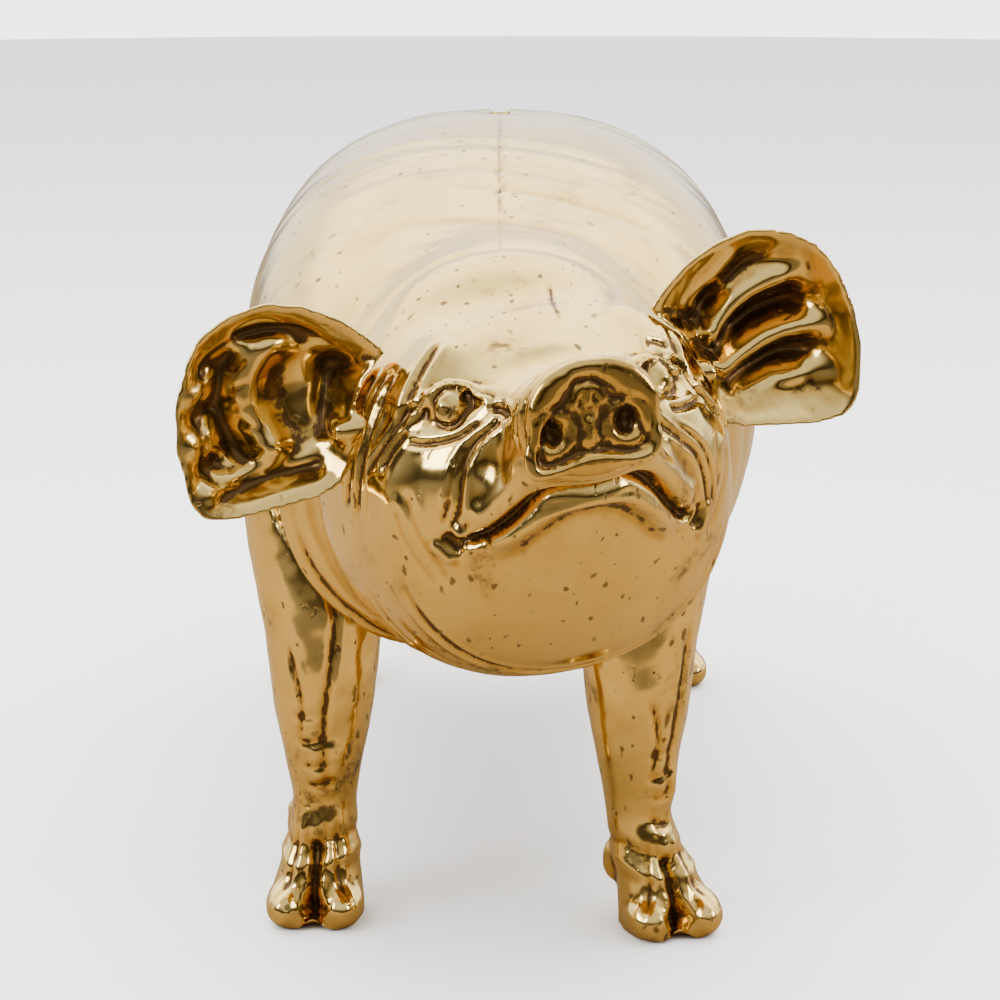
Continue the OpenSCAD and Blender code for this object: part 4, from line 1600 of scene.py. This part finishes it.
@dataclass
class Ear:
    """One spread ear, modelled on its own thin shell.

    Args:
        side: The pig's own side.
        grain: The clay's grain in millimetres.
        reach: The ear's reach from its root in millimetres.
        height: Its height in millimetres.
    """

    side: Side
    grain: float = 0.62
    reach: float = 44.0
    height: float = 47.0
    root: Point = (27.0, 17.0, 16.0)

    def at(self, *shares: tuple[float, float]) -> Line:
        """Turns shares of the ear's reach and height into head millimetres.

        Args:
            *shares: Pairs of outward and upward shares.

        Returns:
            The line.
        """
        x, out, z = self.root
        return tuple((self.side.value * (x + self.reach * a), out, z + self.height * b) for a, b in shares)

    def build(self, finishes: Finishes) -> None:
        """Models the ear and dresses it.

        Args:
            finishes: The bank's finishes.
        """
        node = "ear_right" if self.side is Side.RIGHT else "ear_left"
        clay = Clay("ear_casting_" + ("right" if self.side is Side.RIGHT else "left"), head_frame())
        clay.add_solid(node)
        clay.add_bead(self.on_shell(node), 1.5)
        clay.remesh(self.grain)
        clay.relax(12)
        forms = self.right_forms() if self.side is Side.RIGHT else self.left_forms()
        clay.work(forms, along=np.array([0.0, 1.0, 0.0]))
        for place, reach, move in self.edge_notches():
            clay.press(place, reach, move)
        clay.relax(5)
        clay.work(self.rim())
        clay.relax(1)
        clay.ripple(9.0, 0.06)
        finish_piece(clay.cast(), finishes.ears, "dark_patina_brass", node)

    def on_shell(self, node: str) -> Line:
        """Runs the ear's edge along its own shell.

        Args:
            node: The shell's name.

        Returns:
            The line in head millimetres.
        """
        own = head_frame()
        shell = bmesh.new()
        shell.from_mesh(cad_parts[node].data)
        tree = BVHTree.FromBMesh(shell)
        axes = own.turn(np.eye(3))
        line = []
        for place in own.place(np.array(self.edge())):
            found = np.array(tree.find_nearest(Vector(place))[0][:]) - np.array(own.origin)
            line.append(tuple(float(v) for v in axes @ found / MM))
        shell.free()
        return tuple(line)

    def edge(self) -> Line:
        """Gives the ear's edge, a bead's radius inside its outline."""
        return self.at(
            (0.10, 0.40), (0.22, 0.46), (0.36, 0.52), (0.52, 0.555), (0.68, 0.53), (0.82, 0.445),
            (0.92, 0.32), (0.955, 0.16), (0.965, 0.0), (0.955, -0.12), (0.91, -0.22), (0.84, -0.262),
            (0.70, -0.265), (0.52, -0.262), (0.38, -0.24),
        )

    def right_forms(self) -> list[Stroke]:
        """Gives the right ear's embossed forms."""
        ridge = self.at((0.40, 0.46), (0.56, 0.36), (0.63, 0.21), (0.60, 0.04), (0.54, -0.08))
        return [
            Stroke(ridge, 3.8, 4.6, fade=0.25),
            Stroke(self.at((0.20, 0.36), (0.28, 0.18), (0.30, -0.04)), 4.6, -5.0, stain=0.75, fade=0.3),
            Stroke(self.at((0.69, 0.45), (0.765, 0.21), (0.70, -0.08)), 2.0, -2.2, stain=0.6, fade=0.2),
            Stroke(self.at((0.74, 0.39), (0.98, 0.37)), 1.7, -2.4, stain=0.7, fade=0.25),
            Stroke(self.at((0.76, 0.19), (1.02, 0.17)), 1.7, -2.4, stain=0.7, fade=0.25),
            Stroke(self.at((0.77, -0.03), (1.02, -0.06)), 1.7, -2.4, stain=0.7, fade=0.25),
            Stroke(self.at((0.82, 0.29), (0.92, 0.27)), 3.0, 2.0, fade=0.0),
            Stroke(self.at((0.84, 0.08), (0.94, 0.06)), 3.2, 2.2, fade=0.0),
            Stroke(self.at((0.82, -0.14), (0.92, -0.16)), 2.8, 1.8, fade=0.0),
            Stroke(self.at((0.34, -0.15), (0.60, -0.15), (0.88, -0.20)), 1.8, -2.0, stain=0.6, fade=0.15),
            Stroke(self.at((0.30, 0.40), (0.52, 0.50), (0.70, 0.48)), 2.0, -1.4, stain=0.5, fade=0.2),
        ]

    def left_forms(self) -> list[Stroke]:
        """Gives the left ear's embossed forms."""
        return [
            Stroke(self.at((0.14, 0.18), (0.32, 0.38), (0.46, 0.56)), 2.8, 3.6, fade=0.2),
            Stroke(self.at((0.24, 0.04), (0.48, 0.26), (0.84, 0.40)), 3.2, 4.4, fade=0.2),
            Stroke(self.at((0.28, -0.08), (0.58, 0.06), (0.98, 0.10)), 3.0, 3.8, fade=0.2),
            Stroke(self.at((0.34, -0.22), (0.60, -0.14), (0.94, -0.12)), 2.6, 2.8, fade=0.2),
            Stroke(self.at((0.26, 0.22), (0.44, 0.42), (0.68, 0.52)), 2.6, -3.6, stain=0.8, fade=0.2),
            Stroke(self.at((0.24, 0.00), (0.54, 0.16), (0.94, 0.26)), 2.6, -3.8, stain=0.85, fade=0.2),
            Stroke(self.at((0.30, -0.15), (0.60, -0.03), (0.96, 0.0)), 2.2, -3.0, stain=0.8, fade=0.2),
            Stroke(self.at((0.18, 0.06), (0.24, 0.26)), 3.2, -3.4, stain=0.8, fade=0.0),
            Stroke(self.at((0.70, 0.30), (0.80, 0.20)), 1.6, -1.0, stain=0.4, fade=0.0),
        ]

    def edge_notches(self) -> list[tuple[Point, float, Point]]:
        """Gives the notches in the ear'way edge as places, reaches and moves."""
        way = float(self.side.value)
        rows = (
            (0.94, 0.36, -1.6, -0.6), (1.02, 0.16, -1.8, 0.0), (1.01, -0.04, -1.6, 0.2),
            (0.66, 0.62, -0.4, -1.6),
        )
        return [(self.at((a, b))[0], 2.6, (way * across, 0.0, up)) for a, b, across, up in rows]

    def rim(self) -> list[Stroke]:
        """Gives the rolled edge and the fine lines inside the ear."""
        inner = self.at(
            (0.14, 0.33), (0.34, 0.45), (0.52, 0.49), (0.70, 0.46), (0.84, 0.34), (0.90, 0.14),
            (0.89, -0.08), (0.80, -0.19),
        )
        strokes = [Stroke(inner, 1.0, -0.6, stain=0.6)]
        for i in range(6):
            b = 0.38 - 0.1 * i
            vein = self.at((0.62, b), (0.76, b - 0.02), (0.9, b - 0.01))
            strokes.append(Stroke(vein, 0.7, -0.3, stain=0.3))
        return strokes


@dataclass
class Leg:
    """One leg with its cloven hoof and dewclaws.

    Args:
        node: The solid's name.
        facing: Degrees that the hoof is turned out, to the pig's left.
        grain: The clay's grain in millimetres.
        hoof_height: Height of the hoof in millimetres.
        hoof_reach: From the hoof's middle to its front, in millimetres.
        claws: How far the dewclaws stand to the hoof's left, in millimetres.
        claw_height: Their height over the floor in millimetres.
    """

    node: str
    facing: float
    grain: float = 0.72
    hoof_height: float = 15.0
    hoof_reach: float = 11.0
    claws: tuple[float, float] = (-5.0, 5.0)
    claw_height: float = 20.5

    def ahead(self, across: float, out: float, z: float) -> Point:
        """Gives a place around the hoof.

        Args:
            across: To the hoof's left, in millimetres.
            out: Ahead of the hoof's middle.
            z: Height over the floor.

        Returns:
            The place in own millimetres.
        """
        a = math.radians(self.facing)
        return (
            across * math.cos(a) + out * math.sin(a),
            -out * math.cos(a) + across * math.sin(a),
            z,
        )

    def build(self, finishes: Finishes) -> None:
        """Models the leg and dresses it.

        Args:
            finishes: The bank's finishes.
        """
        _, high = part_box(self.node)
        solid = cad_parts[self.node].data
        sole = [v.co for v in solid.vertices if v.co.z < 1e-4]
        middle = sum((Vector(v) for v in sole), Vector()) / len(sole)
        clay = Clay(self.node + "_casting", OwnFrame((middle.x, middle.y, 0.0)))
        clay.add_solid(self.node)
        clay.remesh(0.9)
        keep = np.clip(clay.points[:, 2] / (6 * MM), 0.05, 1)
        clay.relax(16, keep)
        clay.push_back()
        for way, claw in zip((-1, 1), self.claws):
            behind = 0.25 * abs(claw - 5.0 * way) - 8.6
            clay.add_ball(self.ahead(claw, behind, self.claw_height), (2.8, 3.2, 5.0), self.facing)
            clay.add_ball(self.ahead(5.4 * way, 3.2, 4.4), (5.9, 9.0, 5.6), self.facing + 7.0 * way)
        clay.remesh(self.grain)
        clay.relax(3, np.clip(clay.points[:, 2] / (3 * MM), 0.0, 1))
        clay.work(self.strokes(high[2] / MM))
        clay.relax(1, np.clip(clay.points[:, 2] / (2 * MM), 0.0, 1))
        clay.ripple(15.0, 0.2, self.facing)
        clay.ripple(6.0, 0.04)
        clay.points[:, 2] = np.maximum(clay.points[:, 2], 0.0)
        finish_piece(clay.cast(), finishes.legs, "polished_brass", self.node)

    def strokes(self, top: float) -> list[Stroke]:
        """Gives the cleft, the coronet and the folds of the leg.

        Args:
            top: The leg's top in millimetres.

        Returns:
            The strokes.
        """
        h, r = self.hoof_height, self.hoof_reach
        cleft = tuple(self.ahead(0.0, r + 1.0, z) for z in (0.5, h * 0.5, h, h + 7))
        heel = tuple(self.ahead(0.0, -r, z) for z in (0.5, h * 0.6, h + 2))
        turns = [(math.radians(a), (a % 180 > 90) * 1.0) for a in range(0, 360, 30)]
        coronet = tuple(self.ahead(r * math.sin(a), r * math.cos(a), h + 1.5 - dip) for a, dip in turns)
        above = tuple((x * 0.9, y * 0.9, z + 4.5) for x, y, z in coronet)
        inner_sinew = (
            self.ahead(7.5, r * 0.6, top * 0.80), self.ahead(6.0, r, top * 0.6),
            self.ahead(3.0, r, top * 0.42), self.ahead(4.6, r, h + 14),
        )
        outer_sinew = (
            self.ahead(-7.0, r * 0.8, top * 0.62), self.ahead(-3.5, r, top * 0.5),
            self.ahead(-5.0, r, top * 0.40),
        )
        strokes = [
            Stroke(cleft, 1.4, -3.4, stain=0.8, lip=0.2, fade=0.12),
            Stroke((cleft[0], self.ahead(0.0, r, h * 0.4)), 2.8, -3.4, stain=0.5, fade=0.0),
            Stroke(heel, 1.5, -2.0, stain=0.8, fade=0.1),
            Stroke(coronet, 1.5, 0.5, closed=True),
            Stroke(above, 1.2, -0.4, stain=0.3, closed=True),
            Stroke((self.ahead(7.0, r, top * 0.33), self.ahead(5.0, r, top * 0.36)), 4.0, 1.6, fade=0.0),
            Stroke((self.ahead(-6.0, r, h + 9.0), self.ahead(6.0, r, h + 10.0)), 3.0, 0.9, fade=0.0),
            Stroke(inner_sinew, 1.0, -0.7, stain=0.7, lip=0.4),
            Stroke(outer_sinew, 0.8, -0.5, stain=0.55, lip=0.4),
        ]
        for i, share in enumerate((0.30, 0.345, 0.40, 0.46)):
            reach = 7.5 - 1.4 * (i % 2)
            bend = tuple(
                self.ahead(reach * a - 1.5 * i + 2.0, r, top * share + 1.2 * a * a + 0.8 * a)
                for a in (-1.0, -0.5, 0.0, 0.5, 1.0)
            )
            strokes.append(Stroke(bend, 1.0, -0.55 + 0.08 * i, stain=0.5 - 0.08 * i, lip=0.7, fade=0.4))
        for across in (-7.0, -3.6, 3.6, 7.0):
            back = 0.06 * across * across
            groove = tuple(self.ahead(across, r - back, z) for z in (h * 0.2, h * 0.7, h + 3, h + 12))
            strokes.append(Stroke(groove, 0.8, -0.35, stain=0.35, lip=0.5))
        return strokes


@dataclass
class Tail:
    """The small curled tail on the rump.

    Args:
        grain: The clay's grain in millimetres.
    """

    grain: float = 0.5

    def build(self, finishes: Finishes) -> None:
        """Models the tail and dresses it.

        Args:
            finishes: The bank's finishes.
        """
        clay = Clay("tail_casting", OwnFrame())
        clay.add_solid("tail")
        clay.remesh(self.grain)
        clay.relax(8)
        clay.ripple(5.0, 0.12)
        finish_piece(clay.cast(), finishes.body, "polished_brass", "tail")


@dataclass
class Hardware:
    """The screws, pins and trap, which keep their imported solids."""

    def build(self, finishes: Finishes) -> None:
        """Dresses the solids that stay.

        Args:
            finishes: The bank's finishes.
        """
        dress = {
            "assembly_screw_front": finishes.screws,
            "assembly_screw_rear": finishes.screws,
            "square_nuts": finishes.screws,
            "locating_pins": finishes.steel,
            "trap_ring": finishes.trap,
            "plug_washer": finishes.leather,
            "trap_plug": finishes.trap,
        }
        for node, material in dress.items():
            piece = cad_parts[node]
            piece.data.materials.clear()
            piece.data.materials.append(material)
            LOG.info("%s keeps its solid and takes %s", node, material.name)


def main() -> None:
    """Builds the studio, then the bank from its body outwards."""
    logging.basicConfig(level=logging.INFO, format="%(message)s")
    Studio().build()
    finishes = Finishes()
    BodyShells().build(finishes)
    Head().build(finishes)
    Ear(Side.RIGHT).build(finishes)
    Ear(Side.LEFT).build(finishes)
    Leg("leg_front_right", -2.0).build(finishes)
    Leg("leg_front_left", 14.0, claws=(-10.5, 3.0), claw_height=14.0).build(finishes)
    Leg("leg_hind_right", -4.0).build(finishes)
    Leg("leg_hind_left", 8.0).build(finishes)
    Tail().build(finishes)
    Hardware().build(finishes)


if __name__ == "__main__":
    main()
